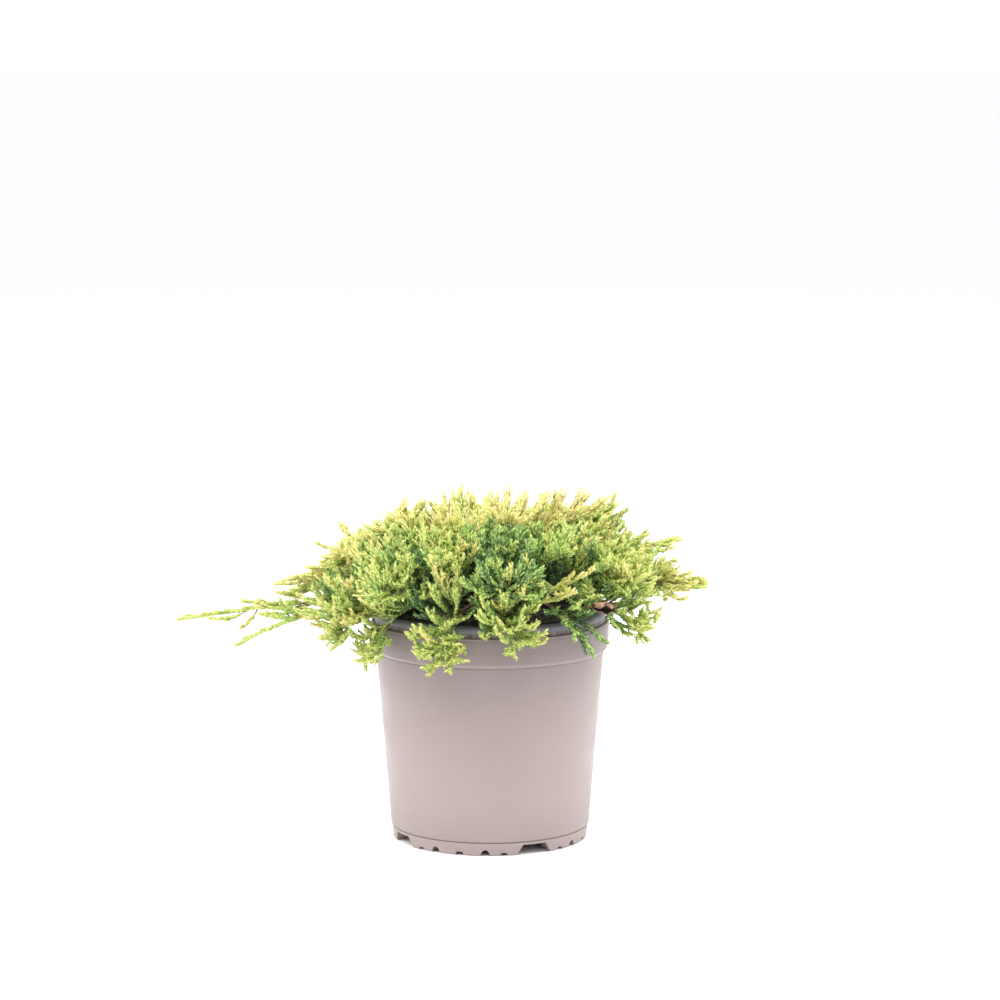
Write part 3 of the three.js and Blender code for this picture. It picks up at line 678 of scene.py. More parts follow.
def branch(parents, order, first, ripening, salt):
    """Shoots on both sides of each parent in turn, every fourth on its upper face, within the crown."""
    apart, least_open, most_open, foot_length, tip_length, rise = HABIT_RULES[parents.habit, order].T
    counts = np.maximum(2, parents.length * (1 - first) / apart).astype(int)
    owner, k = repeats(counts)
    share = first + (0.97 - first) * (k + 0.5) / counts[owner]
    of = parents.pick(owner)
    seed = of.seed * 7.31 + k * 1.37 + salt
    along, face, side = of.frame(share)
    roll = np.radians(np.where(k % 4 == 3, mix(60, 120, dice(seed, 1)), mix(-26, 32, dice(seed, 2))))
    opening = np.radians(mix(least_open[owner], most_open[owner], dice(seed, 3)))
    turned = np.where(k % 2 == 0, 1.0, -1.0)[:, None]
    aim = opened(along, side * turned, face, roll, opening)
    length = mix(foot_length[owner], tip_length[owner], share) * mix(*LENGTH_SPREAD, dice(seed, 4))
    length *= 1 - 0.3 * share ** 3
    length *= np.minimum(1, of.length / (foot_length[owner] * 1.1))
    length = np.minimum(length, (1 - share) * of.length + OVERSHOOT[order])
    gold = of.gold + ripening * (share - 0.5) + BRANCH_GOLD_SPREAD * (dice(seed, 6) - 0.5)
    made = Axes(
        start=of.points(share), aim=unit(aim), curl=UP * rise[owner, None] + along * 0.1,
        face=unit(face + 0.5 * (dice(seed, 5) - 0.5)[:, None] * side), length=length, limb=of.limb,
        habit=of.habit, slack=of.slack, gold=gold, seed=seed)
    return made.pick(fits_crown(made))


def fits_crown(axes):
    reach, lowest = REACH[axes.limb], LOWEST[axes.limb]
    ends = in_crown(axes.points(1), reach, lowest, axes.slack)
    middles = in_crown(axes.points(0.5), reach, lowest, axes.slack)
    return ends & middles & ~in_gap(axes)


def in_gap(axes):
    """Whether a shoot's tip lies in a dark gap. The dark shoots deep in the crown stay."""
    off = axes.points(1)[:, None] - DARK_GAPS[:, :3]
    off[..., 1] /= GAP_DEPTH
    near = (np.linalg.norm(off, axis=-1) < DARK_GAPS[:, 3]).any(axis=1)
    return near & (axes.gold > GAP_GOLD)


def grow():
    """All the shoots of the crown, each order from the one before."""
    tips = []
    rows = marked_shoots(MARKED_SHOOTS, MARKED_SEED, tips)
    for limb in limbs:
        rows += side_shoots(limb, tips)
    rows += inner_shoots() + marked_shoots(SHADE_SHOOTS, SHADE_SEED, tips)
    sides = axes_of(rows)
    leads = axes_of(leaders())
    sprays = branch(joined([sides, leads]), order=0, first=0.14, ripening=0.26, salt=3)
    fingers = branch(sprays, order=1, first=0.12, ripening=0.06, salt=5)
    return {"sides": sides, "leads": leads, "sprays": sprays, "fingers": fingers}


# Leaves.
def leaves_on(axes, first, ripening):
    """Pairs of scale leaves along shoots, each pair turned square to the last: the corners, tone, limb and
    normals of each leaf."""
    counts = np.maximum(2, (axes.length * (1 - first) / LEAVES_APART)).astype(int)
    owner, k = repeats(counts * 2)
    pair, twin = k // 2, k % 2
    of = axes.pick(owner)
    share = first + (1 - first) * (pair + 0.35) / counts[owner]
    along, face, side = of.frame(share)
    chance = dice(of.seed, k + 11)
    turn = pair * math.pi / 2 + twin * math.pi + (chance - 0.5) * 0.4 + of.seed
    out = side * np.cos(turn)[:, None] + face * np.sin(turn)[:, None]
    near_tip = share ** 3
    opening = np.radians(mix(*LEAF_OPENING, near_tip) * mix(0.85, 1.15, dice(of.seed, k + 5)))
    aim = along * np.cos(opening)[:, None] + out * np.sin(opening)[:, None]
    root = of.points(share) + out * (LEAF_ROOT * (1 - 0.6 * near_tip))[:, None]
    length = LEAF_LENGTH * mix(1.0, 0.75, near_tip) * mix(0.9, 1.1, chance)
    corners = leaf_corners(root, along, aim, out, length, LEAF_WIDTH * mix(1, 0.8, near_tip))
    # Leaves on the side of their shoot away from the crown's heart are lighter and more golden: partly the
    # real gold of sunlit growth, partly painted light.
    sunny = (out * unit(corners[:, 3] - CROWN_HEART)).sum(-1)
    tones = tone_of(of, ripening * (share - 0.5) + SUNNY_SIDE * sunny, corners[:, 3], chance)
    return corners, tones, of.limb, leaf_normals(corners, out)


def leaf_corners(root, along, aim, out, length, width):
    """Four corners a leaf: its root, its left and right on either side of its ridge, and its tip."""
    across = np.cross(aim, out)
    ridge = unit(np.cross(across, aim))
    middle = root + aim * (length * 0.5)[:, None]
    corners = np.stack([
        root - aim * 0.3,
        middle + across * (width / 2)[:, None],
        middle - across * (width / 2)[:, None],
        root + aim * (length * 0.8)[:, None] + along * (length * 0.2)[:, None],
    ], axis=1)
    corners[:, 1:3] -= ridge[:, None] * LEAF_FOLD * 0.5
    corners[:, 0] += ridge * LEAF_FOLD * 0.5
    return corners


def leaf_normals(corners, out):
    """Normals for each corner of each face: round the shoot on the two upper faces, so that it shades as one
    plump finger, flat on the two under them, and all leaning a little outwards from the crown's heart."""
    left, right, tip = corners[:, 1], corners[:, 2], corners[:, 3]
    across = unit(left - right)
    onward = unit(tip - corners[:, 0])
    outwards = unit(corners[:, 0] - CROWN_HEART)[:, None] * NORMAL_LEAN
    rounded = np.stack([out, out + across * 0.7, out - across * 0.7, out + onward * 0.4], axis=1)
    upper = unit(rounded + outwards)[:, LEAF_FACES[:2]]
    lower = LEAF_FACES[2:]
    edges = corners[:, lower[:, 1:]] - corners[:, lower[:, :1]]
    flat = unit(unit(np.cross(edges[:, :, 0], edges[:, :, 1])) + outwards)
    return np.concatenate([upper, np.repeat(flat[:, :, None], 3, axis=2)], axis=1)


def tone_of(of, ripeness, points, chance):
    """The number of a leaf's tone: golden by its limb and spray, and greener and darker inside the crown,
    where the green is the shaded growth's own and the darkness is painted shade.
    """
    depth = np.clip((ceiling(points) - points[:, 2]) / SHADE_DEPTH, 0, 1)
    inward = np.clip((np.minimum(REACH[of.limb], SHADE_REACH) - from_axis(points)) / SHADE_WIDTH, 0, 1)
    light = of.gold - SHADE_DARKENING * depth * inward + ripeness + TONE_SPREAD * (chance - 0.5)
    return np.clip(light * len(TONES), 0, len(TONES) - 1).astype(int)


# Meshes from arrays.
def mesh_piece(name, corners, faces, materials, surfaces=0):
    """One object from corners in plant millimetres and triangles, with the number of the material of each."""
    mesh = bpy.data.meshes.new(name)
    mesh.vertices.add(len(corners))
    mesh.vertices.foreach_set("co", (corners * MM + AXIS).astype(np.float32).ravel())
    mesh.loops.add(faces.size)
    mesh.loops.foreach_set("vertex_index", faces.astype(np.int32).ravel())
    mesh.polygons.add(len(faces))
    mesh.polygons.foreach_set("loop_start", np.arange(0, faces.size, 3, dtype=np.int32))
    mesh.polygons.foreach_set("material_index", np.broadcast_to(surfaces, len(faces)).astype(np.int32))
    mesh.update(calc_edges=True)
    mesh.validate()
    for material in materials:
        mesh.materials.append(material)
    piece = bpy.data.objects.new(name, mesh)
    bpy.context.scene.collection.objects.link(piece)
    return piece


def hand_over(piece, nodes=()):
    """Tells the frame what a finished piece rides on and which solids it replaces."""
    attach(piece, "root")
    if nodes:
        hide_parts(*nodes)


def merged(parts):
    """Several lots of corners and faces as one."""
    starts = np.cumsum([0] + [len(corners) for corners, _ in parts[:-1]])
    corners = np.concatenate([corners for corners, _ in parts])
    faces = np.concatenate([faces + start for (_, faces), start in zip(parts, starts)])
    return corners, faces


def round_turns(sides):
    return np.arange(sides) * 2 * math.pi / sides


def ring(side, up, sides):
    """The corners of a circle of radius 1 in the plane of two directions, or of many."""
    turns = round_turns(sides)[:, None]
    return side[..., None, :] * np.cos(turns) + up[..., None, :] * np.sin(turns)


def ring_faces(rings, sides):
    """The triangles between each ring of corners and the next."""
    faces = []
    for i in range(rings - 1):
        for k in range(sides):
            a, b = i * sides + k, i * sides + (k + 1) % sides
            faces += [(a, b, b + sides), (a, b + sides, a + sides)]
    return faces


def tube_faces(rings, sides):
    """The triangles of a closed tube: those between its rings, and a fan on each end."""
    faces = ring_faces(rings, sides)
    last = (rings - 1) * sides
    for k in range(1, sides - 1):
        faces += [(0, k + 1, k), (last, last + k, last + k + 1)]
    return np.array(faces)


def tube(centres, radii, sides, face):
    """A closed tube of rings along a line of centres, with its corners and its triangles."""
    along = unit(np.gradient(centres, axis=0))
    side = unit(np.cross(along, face))
    rings = ring(side, np.cross(side, along), sides) * np.asarray(radii)[:, None, None]
    return (centres[:, None] + rings).reshape(-1, 3), tube_faces(len(centres), sides)


def tubes_on(axes, butt, tip, sides, steps, first=0.0):
    """A tapering tube inside each shoot from a share of its length on: the corners and triangles of all, and
    the step that each triangle of one belongs to. One that starts on its way does so with a thin end."""
    shares = np.linspace(first, 1, steps + 1)
    centres = np.stack([axes.points(share) for share in shares], axis=1)
    frames = [axes.frame(share) for share in shares]
    up = np.stack([face for _, face, _ in frames], axis=1)
    side = np.stack([side for _, _, side in frames], axis=1)
    radii = mix(butt, tip, shares)
    if first:
        radii[0] *= 0.4
    corners = (centres[:, :, None] + ring(side, up, sides) * radii[:, None, None]).reshape(len(axes), -1, 3)
    faces = np.arange(len(axes))[:, None, None] * corners.shape[1] + tube_faces(steps + 1, sides)
    step_of = np.concatenate([np.repeat(np.arange(steps), sides * 2), np.tile([0, steps - 1], sides - 2)])
    return corners.reshape(-1, 3), faces.reshape(-1, 3), step_of


# Materials.
def material(name, colour, roughness):
    """A named surface and its shader, ready for its own pattern."""
    made = bpy.data.materials.new(name)
    made.use_nodes = True
    shader = made.node_tree.nodes["Principled BSDF"]
    shader.inputs["Base Color"].default_value = (*colour, 1)
    shader.inputs["Roughness"].default_value = roughness
    return made, shader


def add_node(made, kind, **inputs):
    node = made.node_tree.nodes.new(kind)
    for name, value in inputs.items():
        node.inputs[name.replace("_", " ")].default_value = value
    return node


def noise(made, scale, detail=4.0, stretch=(1, 1, 1)):
    """A noise on the piece's own coordinates, as its factor's socket."""
    links = made.node_tree.links
    place = add_node(made, "ShaderNodeTexCoord")
    mapping = add_node(made, "ShaderNodeMapping", Scale=stretch)
    pattern = add_node(made, "ShaderNodeTexNoise", Scale=scale, Detail=detail)
    links.new(place.outputs["Object"], mapping.inputs["Vector"])
    links.new(mapping.outputs["Vector"], pattern.inputs["Vector"])
    return pattern.outputs["Fac"]


def spread(made, source, low, high, target):
    """Sends a noise to a socket as a range of values."""
    ranged = add_node(made, "ShaderNodeMapRange", To_Min=low, To_Max=high, From_Min=0.3, From_Max=0.7)
    made.node_tree.links.new(source, ranged.inputs["Value"])
    made.node_tree.links.new(ranged.outputs["Result"], target)


def blend_colours(made, source, stops, target):
    """Sends a factor to a colour socket through a ramp of colours."""
    ramp = add_node(made, "ShaderNodeValToRGB")
    elements = ramp.color_ramp.elements
    while len(elements) < len(stops):
        elements.new(0.5)
    for element, (position, colour) in zip(elements, stops):
        element.position = position
        element.color = (*colour, 1)
    made.node_tree.links.new(source, ramp.inputs["Fac"])
    made.node_tree.links.new(ramp.outputs["Color"], target)


def bump(made, shader, source, distance, strength=1.0):
    """Adds a noise to a surface as relief, over the relief that it has."""
    links = made.node_tree.links
    node = add_node(made, "ShaderNodeBump", Strength=strength, Distance=distance)
    links.new(source, node.inputs["Height"])
    previous = shader.inputs["Normal"].links
    if previous:
        links.new(previous[0].from_socket, node.inputs["Normal"])
    links.new(node.outputs["Normal"], shader.inputs["Normal"])


def needle_material(name, colour):
    """Waxy needles: one plain colour, with a fine grain in their gloss."""
    made, shader = material(name, colour, 0.5)
    grain = noise(made, 900)
    spread(made, grain, 0.42, 0.62, shader.inputs["Roughness"])
    bump(made, shader, grain, 0.0001, 0.5)
    shader.inputs["Specular IOR Level"].default_value = 0.35
    return made


def patterned(name, pattern, stops, gloss, relief=None):
    """A surface whose colour and roughness follow one noise, and its relief too where that is given."""
    made, shader = material(name, stops[0][1], gloss[0])
    source = noise(made, *pattern)
    blend_colours(made, source, stops, shader.inputs["Base Color"])
    spread(made, source, *gloss, shader.inputs["Roughness"])
    if relief:
        bump(made, shader, source, *relief)
    return made, shader


def bark_material(name, stops, scale=420):
    """Stringy bark with grooves that run roughly upwards."""
    return patterned(name, (scale, 6, (1, 1, 0.25)), stops, (0.95, 0.7), (0.0006, 0.8))[0]


def recess_material():
    """The brown strip under the lip, with upright streaks: its own brown, darkened further by painted shade
    for the recess that it lies in.
    """
    stops = [(0.35, (0.10, 0.078, 0.072)), (0.65, (0.21, 0.17, 0.16))]
    return patterned("recess_plastic_painted_shade", (420, 3, (1, 1, 0.06)), stops, (0.6, 0.6), (0.0002, 0.5))[0]


def lip_material():
    """The lip and the inside of the pot in one dark grey-blue, scuffed, with the plastic's fine grain:
    painted shade and a painted cool reflection in place of the taupe plastic's own colour.
    """
    stops = [(0.3, (0.13, 0.13, 0.15)), (0.7, (0.19, 0.19, 0.225))]
    made, shader = patterned("lip_painted_shade_and_reflection", (90, 4), stops, (0.5, 0.34))
    bump(made, shader, noise(made, 1300, 2), 0.00004, 0.5)
    return made


def soil_material():
    """Dark damp peat."""
    stops = [(0.3, (0.012, 0.008, 0.006)), (0.55, (0.04, 0.026, 0.018)), (0.75, (0.09, 0.06, 0.04))]
    return patterned("peat", (260, 8), stops, (0.98, 0.8), (0.002, 0.9))[0]


def height_share(made):
    """The height on a piece as a share of the pot's own, as a socket."""
    links = made.node_tree.links
    place = add_node(made, "ShaderNodeTexCoord")
    apart = add_node(made, "ShaderNodeSeparateXYZ")
    ranged = add_node(made, "ShaderNodeMapRange", From_Max=LIP_TOP * MM)
    links.new(place.outputs["Object"], apart.inputs["Vector"])
    links.new(apart.outputs["Z"], ranged.inputs["Value"])
    return ranged.outputs["Result"]


def vector_node(made, operation):
    node = add_node(made, "ShaderNodeVectorMath")
    node.operation = operation
    return node


def plastic_material():
    """Moulded taupe plastic: satin, with a fine speckle and faint flow marks, darkened by painted shade
    towards the collar under the crown, with painted highlights on the ledge and on the collar's top edge."""
    made, shader = material("taupe_plastic", (0.36, 0.29, 0.28), 0.45)
    links = made.node_tree.links
    flow = noise(made, 7, 3, (1, 1, 0.35))
    grain = noise(made, 1300, 2)
    shade = vector_node(made, "MULTIPLY")
    speckle = vector_node(made, "SCALE")
    heights = [(height / LIP_TOP, (tone, tone, tone)) for height, tone in POT_PAINTED_LIGHT]
    blend_colours(made, flow, [(0.3, (0.325, 0.264, 0.25)), (0.7, (0.35, 0.284, 0.27))], shade.inputs[0])
    # Painted shade under the crown and painted highlights on the ledge and the collar's top edge, by height.
    blend_colours(made, height_share(made), heights, shade.inputs[1])
    links.new(shade.outputs["Vector"], speckle.inputs[0])
    spread(made, grain, 0.95, 1.05, speckle.inputs["Scale"])
    links.new(speckle.outputs["Vector"], shader.inputs["Base Color"])
    spread(made, noise(made, 40), 0.36, 0.5, shader.inputs["Roughness"])
    bump(made, shader, grain, 0.00004, 0.5)
    bump(made, shader, flow, 0.0006, 0.25)
    shader.inputs["Specular IOR Level"].default_value = 0.45
    shader.inputs["Specular Tint"].default_value = (0.9, 0.86, 1.0, 1)
    return made


# Work on single pieces.
def nothing_selected():
    bpy.ops.object.select_all(action="DESELECT")


def select_only(piece):
    nothing_selected()
    piece.select_set(True)
    bpy.context.view_layer.objects.active = piece


def active_piece(name):
    piece = bpy.context.active_object
    piece.name = name
    piece.data.name = name
    return piece


def place_applied(piece):
    select_only(piece)
    bpy.ops.object.transform_apply(location=True, rotation=True, scale=True)
    return piece


def smooth(piece, angle):
    select_only(piece)
    bpy.ops.object.shade_smooth_by_angle(angle=math.radians(angle))


def turn_faces_out(piece):
    select_only(piece)
    bpy.ops.object.mode_set(mode="EDIT")
    bpy.ops.mesh.select_all(action="SELECT")
    bpy.ops.mesh.normals_make_consistent(inside=False)
    bpy.ops.object.mode_set(mode="OBJECT")


def turned_shell(name, profile, sides):
    """A shell pulled up from one ring through a profile of radii and heights, closed at both ends."""
    nothing_selected()
    radius, height = profile[0]
    bpy.ops.mesh.primitive_circle_add(vertices=sides, radius=radius * MM, fill_type="NGON",
                                      location=(AXIS[0], AXIS[1], height * MM))
    piece = active_piece(name)
    bpy.ops.object.mode_set(mode="EDIT")
    bpy.ops.mesh.select_all(action="SELECT")
    for next_radius, next_height in profile[1:]:
        pull = (0, 0, (next_height - height) * MM)
        bpy.ops.mesh.extrude_region_move(TRANSFORM_OT_translate={"value": pull})
        share = next_radius / radius
        centre = (AXIS[0], AXIS[1], next_height * MM)
        bpy.ops.transform.resize(value=(share, share, 1), center_override=centre)
        radius, height = next_radius, next_height
    bpy.ops.object.mode_set(mode="OBJECT")
    turn_faces_out(piece)
    return place_applied(piece)


# The pot.
def pot_profile():
    """The pot's section from the middle of its underside, out over the lip and down to the top of its floor:
    the radius and height of each part, and steps out and up from there."""
    turns = np.radians(np.arange(0, 121, 15))
    lip = [(LIP_ROUND * math.cos(turn), LIP_ROUND * math.sin(turn)) for turn in turns]
    middle = mix(BODY_BOTTOM_RADIUS, BODY_TOP_RADIUS, 0.5)
    parts = [
        (FOOT_RADIUS - FOOT_DEPTH, FLOOR_UNDERSIDE, [(0, 0)]),
        (FOOT_RADIUS - FOOT_DEPTH, 0, [(0.6, 0.3), (1.0, 0)]),
        (FOOT_RADIUS, 0, [(-0.6, 0), (0.1, 0.6)]),
        (FOOT_RADIUS, FOOT_HEIGHT, [(1.3, -0.5), (0.2, -0.1), (0.2, 0.4)]),
        (BODY_BOTTOM_RADIUS, FOOT_HEIGHT, [(-0.3, 0.7), (0, 1.2)]),
        (middle, mix(FOOT_HEIGHT + 1.1, COLLAR_BOTTOM, 0.5), [(0, 0)]),
        (BODY_TOP_RADIUS, COLLAR_BOTTOM, [(0, -0.8), (-0.2, -0.5), (-0.2, -0.1), (0.4, 0)]),
        (COLLAR_RADIUS, COLLAR_BOTTOM, [(-1.4, 2.2), (-0.9, 2.8), (-0.1, 7), (0, 12)]),
        (COLLAR_RADIUS, COLLAR_TOP, [(0, -4), (-0.1, -1.2), (-0.5, -0.4), (-1.2, 0)]),
        (RECESS_RADIUS, COLLAR_TOP, [(0.4, 0.1), (0, 0.5)]),
        (RECESS_RADIUS, LIP_FOOT, [(-0.1, -0.9), (0.3, -0.6)]),
        (LIP_RADIUS - LIP_ROUND, LIP_FOOT, lip),
        (LIP_RADIUS - LIP_ROUND * 1.75, LIP_TOP, [(0, -2.6)]),
        (LIP_RADIUS - WALL, COLLAR_TOP, [(-2.4, 3), (-0.4, 1)]),
        (COLLAR_RADIUS - WALL, COLLAR_BOTTOM, [(-0.6, 9)]),
        (BODY_TOP_RADIUS - WALL, COLLAR_BOTTOM, [(0, 1.6)]),
        (BODY_BOTTOM_RADIUS - WALL, FLOOR_UNDERSIDE + WALL, [(-0.2, 0)]),
    ]
    return [(radius + out, height + up) for radius, height, steps in parts for out, up in steps]


def notch_cutter(azimuth, bottom, top, height, arched):
    """A cutter through the foot ring: a cylinder on its side for an archway, else a cube as a trapezium."""
    nothing_selected()
    centre = AXIS + polar(azimuth, FOOT_RADIUS - FOOT_DEPTH * 0.3, 0) * MM
    turn = math.radians(azimuth)
    depth = FOOT_DEPTH * 2.2 * MM
    if arched:
        bpy.ops.mesh.primitive_cylinder_add(vertices=20, radius=0.5, depth=1, location=centre,
                                            rotation=(math.pi / 2, 0, turn + math.pi / 2))
        bpy.context.active_object.scale = (bottom * MM, height * 2 * MM, depth)
        return place_applied(active_piece("cutter"))
    bpy.ops.mesh.primitive_cube_add(size=1, location=centre, rotation=(0, 0, turn))
    bpy.context.active_object.scale = (depth, bottom * MM, height * 2 * MM)
    cutter = active_piece("cutter")
    narrow_top(cutter, top / bottom, (centre[0], centre[1], height * MM))
    return place_applied(cutter)


def narrow_top(cutter, share, centre):
    """Narrows the upper face of a cutter along its own y."""
    bpy.ops.object.mode_set(mode="EDIT")
    bpy.ops.mesh.select_all(action="DESELECT")
    bpy.ops.object.mode_set(mode="OBJECT")
    for corner in cutter.data.vertices:
        corner.select = corner.co.z > 0
    bpy.ops.object.mode_set(mode="EDIT")
    bpy.ops.transform.resize(value=(1, share, 1), orient_type="LOCAL", center_override=centre)
    bpy.ops.object.mode_set(mode="OBJECT")


def drain_cutter(number):
    nothing_selected()
    centre = AXIS + polar(number * 360 / DRAIN_HOLES, DRAIN_CIRCLE, FLOOR_UNDERSIDE) * MM
    bpy.ops.mesh.primitive_cylinder_add(vertices=24, radius=DRAIN_RADIUS * MM, depth=6 * MM, location=centre)
    return place_applied(active_piece("cutter"))


def cut_away(piece, cutters):
    """Cuts a list of solids out of a piece and deletes them."""
    select_only(cutters[0])
    for cutter in cutters:
        cutter.select_set(True)
    bpy.ops.object.join()
    tool = bpy.context.active_object
    select_only(piece)
    cut = piece.modifiers.new("notches", "BOOLEAN")
    cut.object = tool
    cut.solver = "EXACT"
    bpy.ops.object.modifier_apply(modifier=cut.name)
    bpy.data.objects.remove(tool)


def inner_radius(height):
    """A radius inside the pot's wall at a height, past which a face is the wall's outside."""
    if height > COLLAR_BOTTOM:
        return RECESS_RADIUS - WALL * 0.5
    share = (height - FOOT_HEIGHT) / (COLLAR_BOTTOM - FOOT_HEIGHT)
    return mix(BODY_BOTTOM_RADIUS, BODY_TOP_RADIUS, share) - 1.2 - WALL * 0.5


def pot_surface(centre):
    """The number of the material of a face of the pot: the plastic, the recess with its painted shade, or the
    lip and the inside with their painted shade and reflection.
    """
    radius = math.hypot(centre.x - AXIS[0], centre.y - AXIS[1]) / MM
    height = centre.z / MM
    inside = height > FLOOR_UNDERSIDE + 1 and radius < inner_radius(height)
    if inside or height >= LIP_FOOT - 0.8:
        return 2
    return 1 if height > COLLAR_TOP + 0.05 else 0


def make_pot():
    piece = turned_shell("pot_shell", pot_profile(), POT_SIDES)
    cutters = [drain_cutter(number) for number in range(DRAIN_HOLES)]
    for azimuth in CHANNEL_ANGLES:
        cutters.append(notch_cutter(azimuth, *CHANNEL))
        cutters += [notch_cutter(azimuth + 45 + offset, *notch) for offset, *notch in SMALL_NOTCHES]
    cut_away(piece, cutters)
    smooth(piece, 28)
    for made in (plastic_material(), recess_material(), lip_material()):
        piece.data.materials.append(made)
    for face in piece.data.polygons:
        face.material_index = pot_surface(face.center)
    hand_over(piece, ["pot"])


# The soil.
def make_soil():
    """A low dome of peat inside the collar, with crumbs thrown up over it."""
    rings, sides = 46, 120
    floor = SOIL_TOP - 12.0
    radii = np.linspace(0.5, COLLAR_RADIUS - WALL - 3.2, rings)
    r, a = np.meshgrid(radii, round_turns(sides), indexing="ij")
    x, y = r * np.cos(a), r * np.sin(a)
    rough = sum(np.sin(x * f + 1.7 * f) * np.sin(y * f * 1.13 + f) / f for f in (0.09, 0.21, 0.47, 1.1, 1.9))
    crumbs = dice(np.round(x * 3), np.round(y * 3)) * 1.1
    edge = np.clip((radii[-1] - r) / 10, 0, 1)
    z = SOIL_TOP - 5 + 3.4 * edge + 0.35 * rough + crumbs * 0.8
    top = np.stack([x, y, z], axis=-1).reshape(-1, 3)
    foot = np.stack([x[-1], y[-1], np.full(sides, floor)], axis=-1)
    corners = np.concatenate([top, foot, [[0, 0, z[0].mean()], [0, 0, floor]]])
    faces = [triangle[::-1] for triangle in ring_faces(rings + 1, sides)]
    middle, under = len(corners) - 2, len(corners) - 1
    for k in range(sides):
        n = (k + 1) % sides
        faces += [(middle, k, n), (under, rings * sides + n, rings * sides + k)]
    piece = mesh_piece("peat", corners, np.array(faces), [soil_material()])
    smooth(piece, 60)
    hand_over(piece, ["soil"])


# The trunk and the boughs.
def barked_tube(centres, radii, sides, face, salt):
    """A limb with strings of bark: its corners stand in or out by row, in grooves that wander upwards."""
    corners, faces = tube(centres, radii, sides, face)
    grid = corners.reshape(len(centres), sides, 3)
    rows = np.arange(len(centres))[:, None]
    columns = np.arange(sides)[None]
    strings = (dice(columns + salt, 3) * 0.5 + dice(columns + salt, rows // 4) * 0.35
               + dice(columns, rows + salt) * 0.3)
    grid += (grid - centres[:, None]) * (strings[..., None] - 0.55) * 0.32
    return grid.reshape(-1, 3), faces


def make_wood():
    """The trunk and the bare part of each bough, with the bark's relief in their mesh."""
    heights = np.linspace(SOIL_TOP + GAP, TRUNK_TOP, 40)
    centres = np.array([trunk_point(z) for z in heights])
    trunk = barked_tube(centres, [trunk_radius(z) for z in heights], 26, np.array([0.0, 1.0, 0.0]), 1)
    boughs = [limb for limb in limbs if limb.entry]
    share = np.linspace(0, 1, 36)
    wood = [barked_tube(limb.points(share * (limb.entry + 0.02)), mix(BOUGH_BUTT, BOUGH_END, share), 12, UP,
                        limb.number + 5) for limb in boughs]
    bark = bark_material("bark", [(0.3, (0.02, 0.013, 0.01)), (0.5, (0.07, 0.045, 0.034)),
                                  (0.7, (0.15, 0.1, 0.07))])
    for name, parts, nodes in (("trunk_bark", [trunk], ["trunk"]),
                               ("bough_bark", wood, ["bough_" + limb.name for limb in boughs])):
        piece = mesh_piece(name, *merged(parts), [bark])
        smooth(piece, 50)
        hand_over(piece, nodes)


# The foliage.
def make_leaves(shoots):
    """The leaves of the whole crown, dealt out to pieces by limb."""
    lots = [leaves_on(shoots[name], bare, ripening) for name, (bare, ripening, *_) in ORDERS.items()]
    corners, tones, owners, normals = (np.concatenate(parts) for parts in zip(*lots))
    needles = [needle_material("needles_" + tone, colour) for tone, colour in TONES.items()]
    pieces_by_limb = np.array([limb.piece for limb in limbs])
    for piece_name in dict.fromkeys(limb.piece for limb in limbs):
        chosen = pieces_by_limb[owners] == piece_name
        part = corners[chosen]
        faces = (np.arange(len(part))[:, None, None] * 4 + LEAF_FACES).reshape(-1, 3)
        piece = mesh_piece("needles_" + piece_name, part.reshape(-1, 3), faces, needles,
                           np.repeat(tones[chosen], 4))
        piece.data.normals_split_custom_set(normals[chosen].reshape(-1, 3))
        hand_over(piece,
                  ["mass_" + limb.name for limb in limbs if limb.piece == piece_name])


def make_twigs(sides):
    """The woody stems inside the foliage."""
    twig_bark = bark_material("twig_bark", [(0.3, (0.1, 0.058, 0.038)), (0.5, (0.25, 0.15, 0.095)),
                                            (0.7, (0.42, 0.28, 0.18))], 700)
    share = np.linspace(0, 1, 26)
    stems = [tube(limb.points(mix(limb.entry, 0.99, share)), mix(BOUGH_END - 0.1, STEM_END, share), 7, UP)
             for limb in limbs]
    twigs = tubes_on(sides, 0.8, 0.2, 5, 5)[:2]
    hand_over(mesh_piece("twigs", *merged([*stems, twigs]), [twig_bark]))


def make_cores(shoots):
    """The green cores of the shoots, which the leaves sit on."""
    greens = [needle_material("shoots_" + tone, colour) for tone, colour in TONES.items()]
    for piece_name, names in CORE_PIECES.items():
        parts, tones = [], []
        for name in names:
            axes = shoots[name]
            _, ripening, sides, steps, first, taper = ORDERS[name]
            corners, faces, step_of = tubes_on(axes, CORE_RADIUS, CORE_RADIUS * taper, sides, steps, first)
            parts.append((corners, faces))
            middles = mix(first, 1, (np.arange(steps) + 0.5) / steps)
            # Each core takes the tone of a leaf half turned inwards, a little darker: partly its own green
            # and partly painted shade under the leaves.
            by_step = [tone_of(axes, ripening * (share - 0.5) - SUNNY_SIDE / 2, axes.points(share), 0.5)
                       for share in middles]
            tones.append(np.stack(by_step, axis=1)[:, step_of].ravel())
        piece = mesh_piece(piece_name, *merged(parts), greens, np.concatenate(tones))
        hand_over(piece)


# The dried leaf.
def rolled_sheets(start, end, back, up):
    """The corners of the outer and the inner sheet of an open, wavy roll, as one grid each."""
    along, around = np.meshgrid(np.linspace(0, 1, 16), np.linspace(-1, 1, 13), indexing="ij")
    radius = DEAD_LEAF_ROLL * np.sin(math.pi * (0.12 + 0.8 * along)) ** 0.6 * (1 + 0.12 * np.sin(along * 14))
    turn = around * (2.35 + 0.3 * np.sin(along * 11)) + 0.5 * along - 0.35
    wide = 1.5 * np.cos(turn)[..., None] * back + np.sin(turn)[..., None] * up
    return [start + along[..., None] * (end - start) + (radius + thick)[..., None] * wide
            for thick in (0.3, -0.3)]


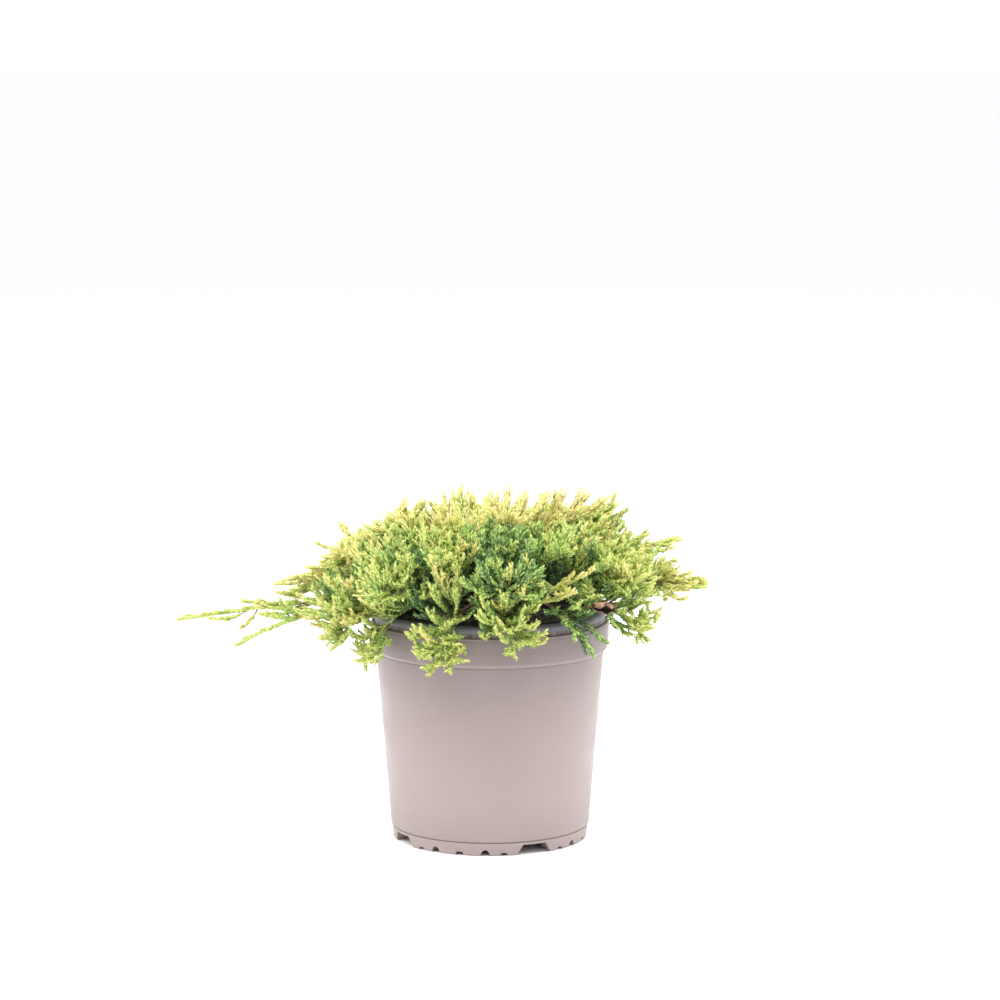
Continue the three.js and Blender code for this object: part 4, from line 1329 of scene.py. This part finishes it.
def sheet_faces(rows, columns):
    """The triangles of the two sheets and of the rim between them, and whether each is on the inner one."""
    outer = np.arange(rows * columns).reshape(rows, columns)
    inner = outer + rows * columns
    quads = []
    for grid, way in ((outer, 1), (inner, -1)):
        corners = np.stack([grid[:-1, :-1], grid[1:, :-1], grid[1:, 1:], grid[:-1, 1:]], axis=-1)
        quads.append(corners.reshape(-1, 4)[:, ::way])
    rim = np.concatenate([outer[0, :-1], outer[:-1, -1], outer[-1, :0:-1], outer[:0:-1, 0]])
    after = np.roll(rim, -1)
    quads.append(np.stack([rim, after, after + outer.size, rim + outer.size], axis=-1))
    hollow = np.repeat([0, 1, 0], [len(lot) for lot in quads])
    quads = np.concatenate(quads)
    return np.concatenate([quads[:, [0, 1, 2]], quads[:, [0, 2, 3]]]), np.tile(hollow, 2)


def make_dead_leaf():
    """A brown leaf that has dried into an open roll, and the dead twig that holds it."""
    start, end = DEAD_LEAF
    way = unit(end - start)
    back = unit(np.cross(UP, way) + 0.25 * UP)
    back = -back if back[1] < 0 else back
    sheets = rolled_sheets(start, end, back, np.cross(back, way))
    faces, hollow = sheet_faces(*sheets[0].shape[:2])
    limb_name, share = DEAD_LEAF_TWIG
    line = mix(limb_named[limb_name].points(share), start + way * 2, np.linspace(0, 1, 8)[:, None])
    line[:, 2] += 3 * np.sin(np.linspace(0, math.pi, 8))
    twig = tube(line, np.linspace(0.9, 0.5, 8), 7, UP)
    corners, faces = merged([(np.concatenate(sheets).reshape(-1, 3), faces), twig])
    papery = bark_material("dead_leaf", [(0.3, (0.06, 0.03, 0.018)), (0.5, (0.22, 0.12, 0.07)),
                                         (0.7, (0.46, 0.3, 0.19))], 260)
    # The inner sheet gets a near-black copy of the leaf's colours: painted shade inside the roll.
    shaded = bark_material("dead_leaf_inside_painted_shade", [(0.3, (0.015, 0.009, 0.006)), (0.5, (0.035, 0.02, 0.013)),
                                                (0.7, (0.08, 0.045, 0.03))], 260)
    surfaces = np.concatenate([hollow, np.zeros(len(twig[1]), int)])
    piece = mesh_piece("dead_leaf", corners, faces, [papery, shaded], surfaces)
    turn_faces_out(piece)
    smooth(piece, 50)
    hand_over(piece)


# The stage: a pale floor, a bright soft room, and the camera.
def make_camera():
    data = bpy.data.cameras.new("camera")
    data.lens = FOCAL_LENGTH
    data.sensor_width = SENSOR_WIDTH
    data.clip_end = 50
    camera = bpy.data.objects.new("camera", data)
    bpy.context.scene.collection.objects.link(camera)
    camera.location = AXIS + CAMERA_PLACE * MM
    camera.rotation_euler = (math.radians(90 - CAMERA_DOWN), 0, 0)
    bpy.context.scene.camera = camera


def soft_light(name, place, size, power):
    data = bpy.data.lights.new(name, "AREA")
    data.shape = "RECTANGLE"
    data.size, data.size_y = size
    data.energy = power
    light = bpy.data.objects.new(name, data)
    bpy.context.scene.collection.objects.link(light)
    light.location = place
    light.rotation_euler = (LIGHTS_AIM - Vector(place)).to_track_quat("-Z", "Y").to_euler()


def make_stage():
    nothing_selected()
    bpy.ops.mesh.primitive_plane_add(size=300)
    floor = active_piece("floor")
    paper, shader = material("floor_paper", (0.93, 0.93, 0.93), 0.9)
    bump(paper, shader, noise(paper, 60), 0.0002, 0.1)
    floor.data.materials.append(paper)
    room = bpy.data.worlds.new("room")
    room.use_nodes = True
    light = room.node_tree.nodes["Background"]
    light.inputs["Color"].default_value = (1, 1, 1, 1)
    light.inputs["Strength"].default_value = ROOM_LIGHT
    bpy.context.scene.world = room
    bpy.context.scene.view_settings.view_transform = "Standard"
    for name, (place, size, power) in LIGHTS.items():
        soft_light(name, place, size, power)


make_camera()
make_stage()
make_pot()
make_soil()
make_wood()
crown = grow()
make_leaves(crown)
make_twigs(crown["sides"])
make_cores(crown)
make_dead_leaf()
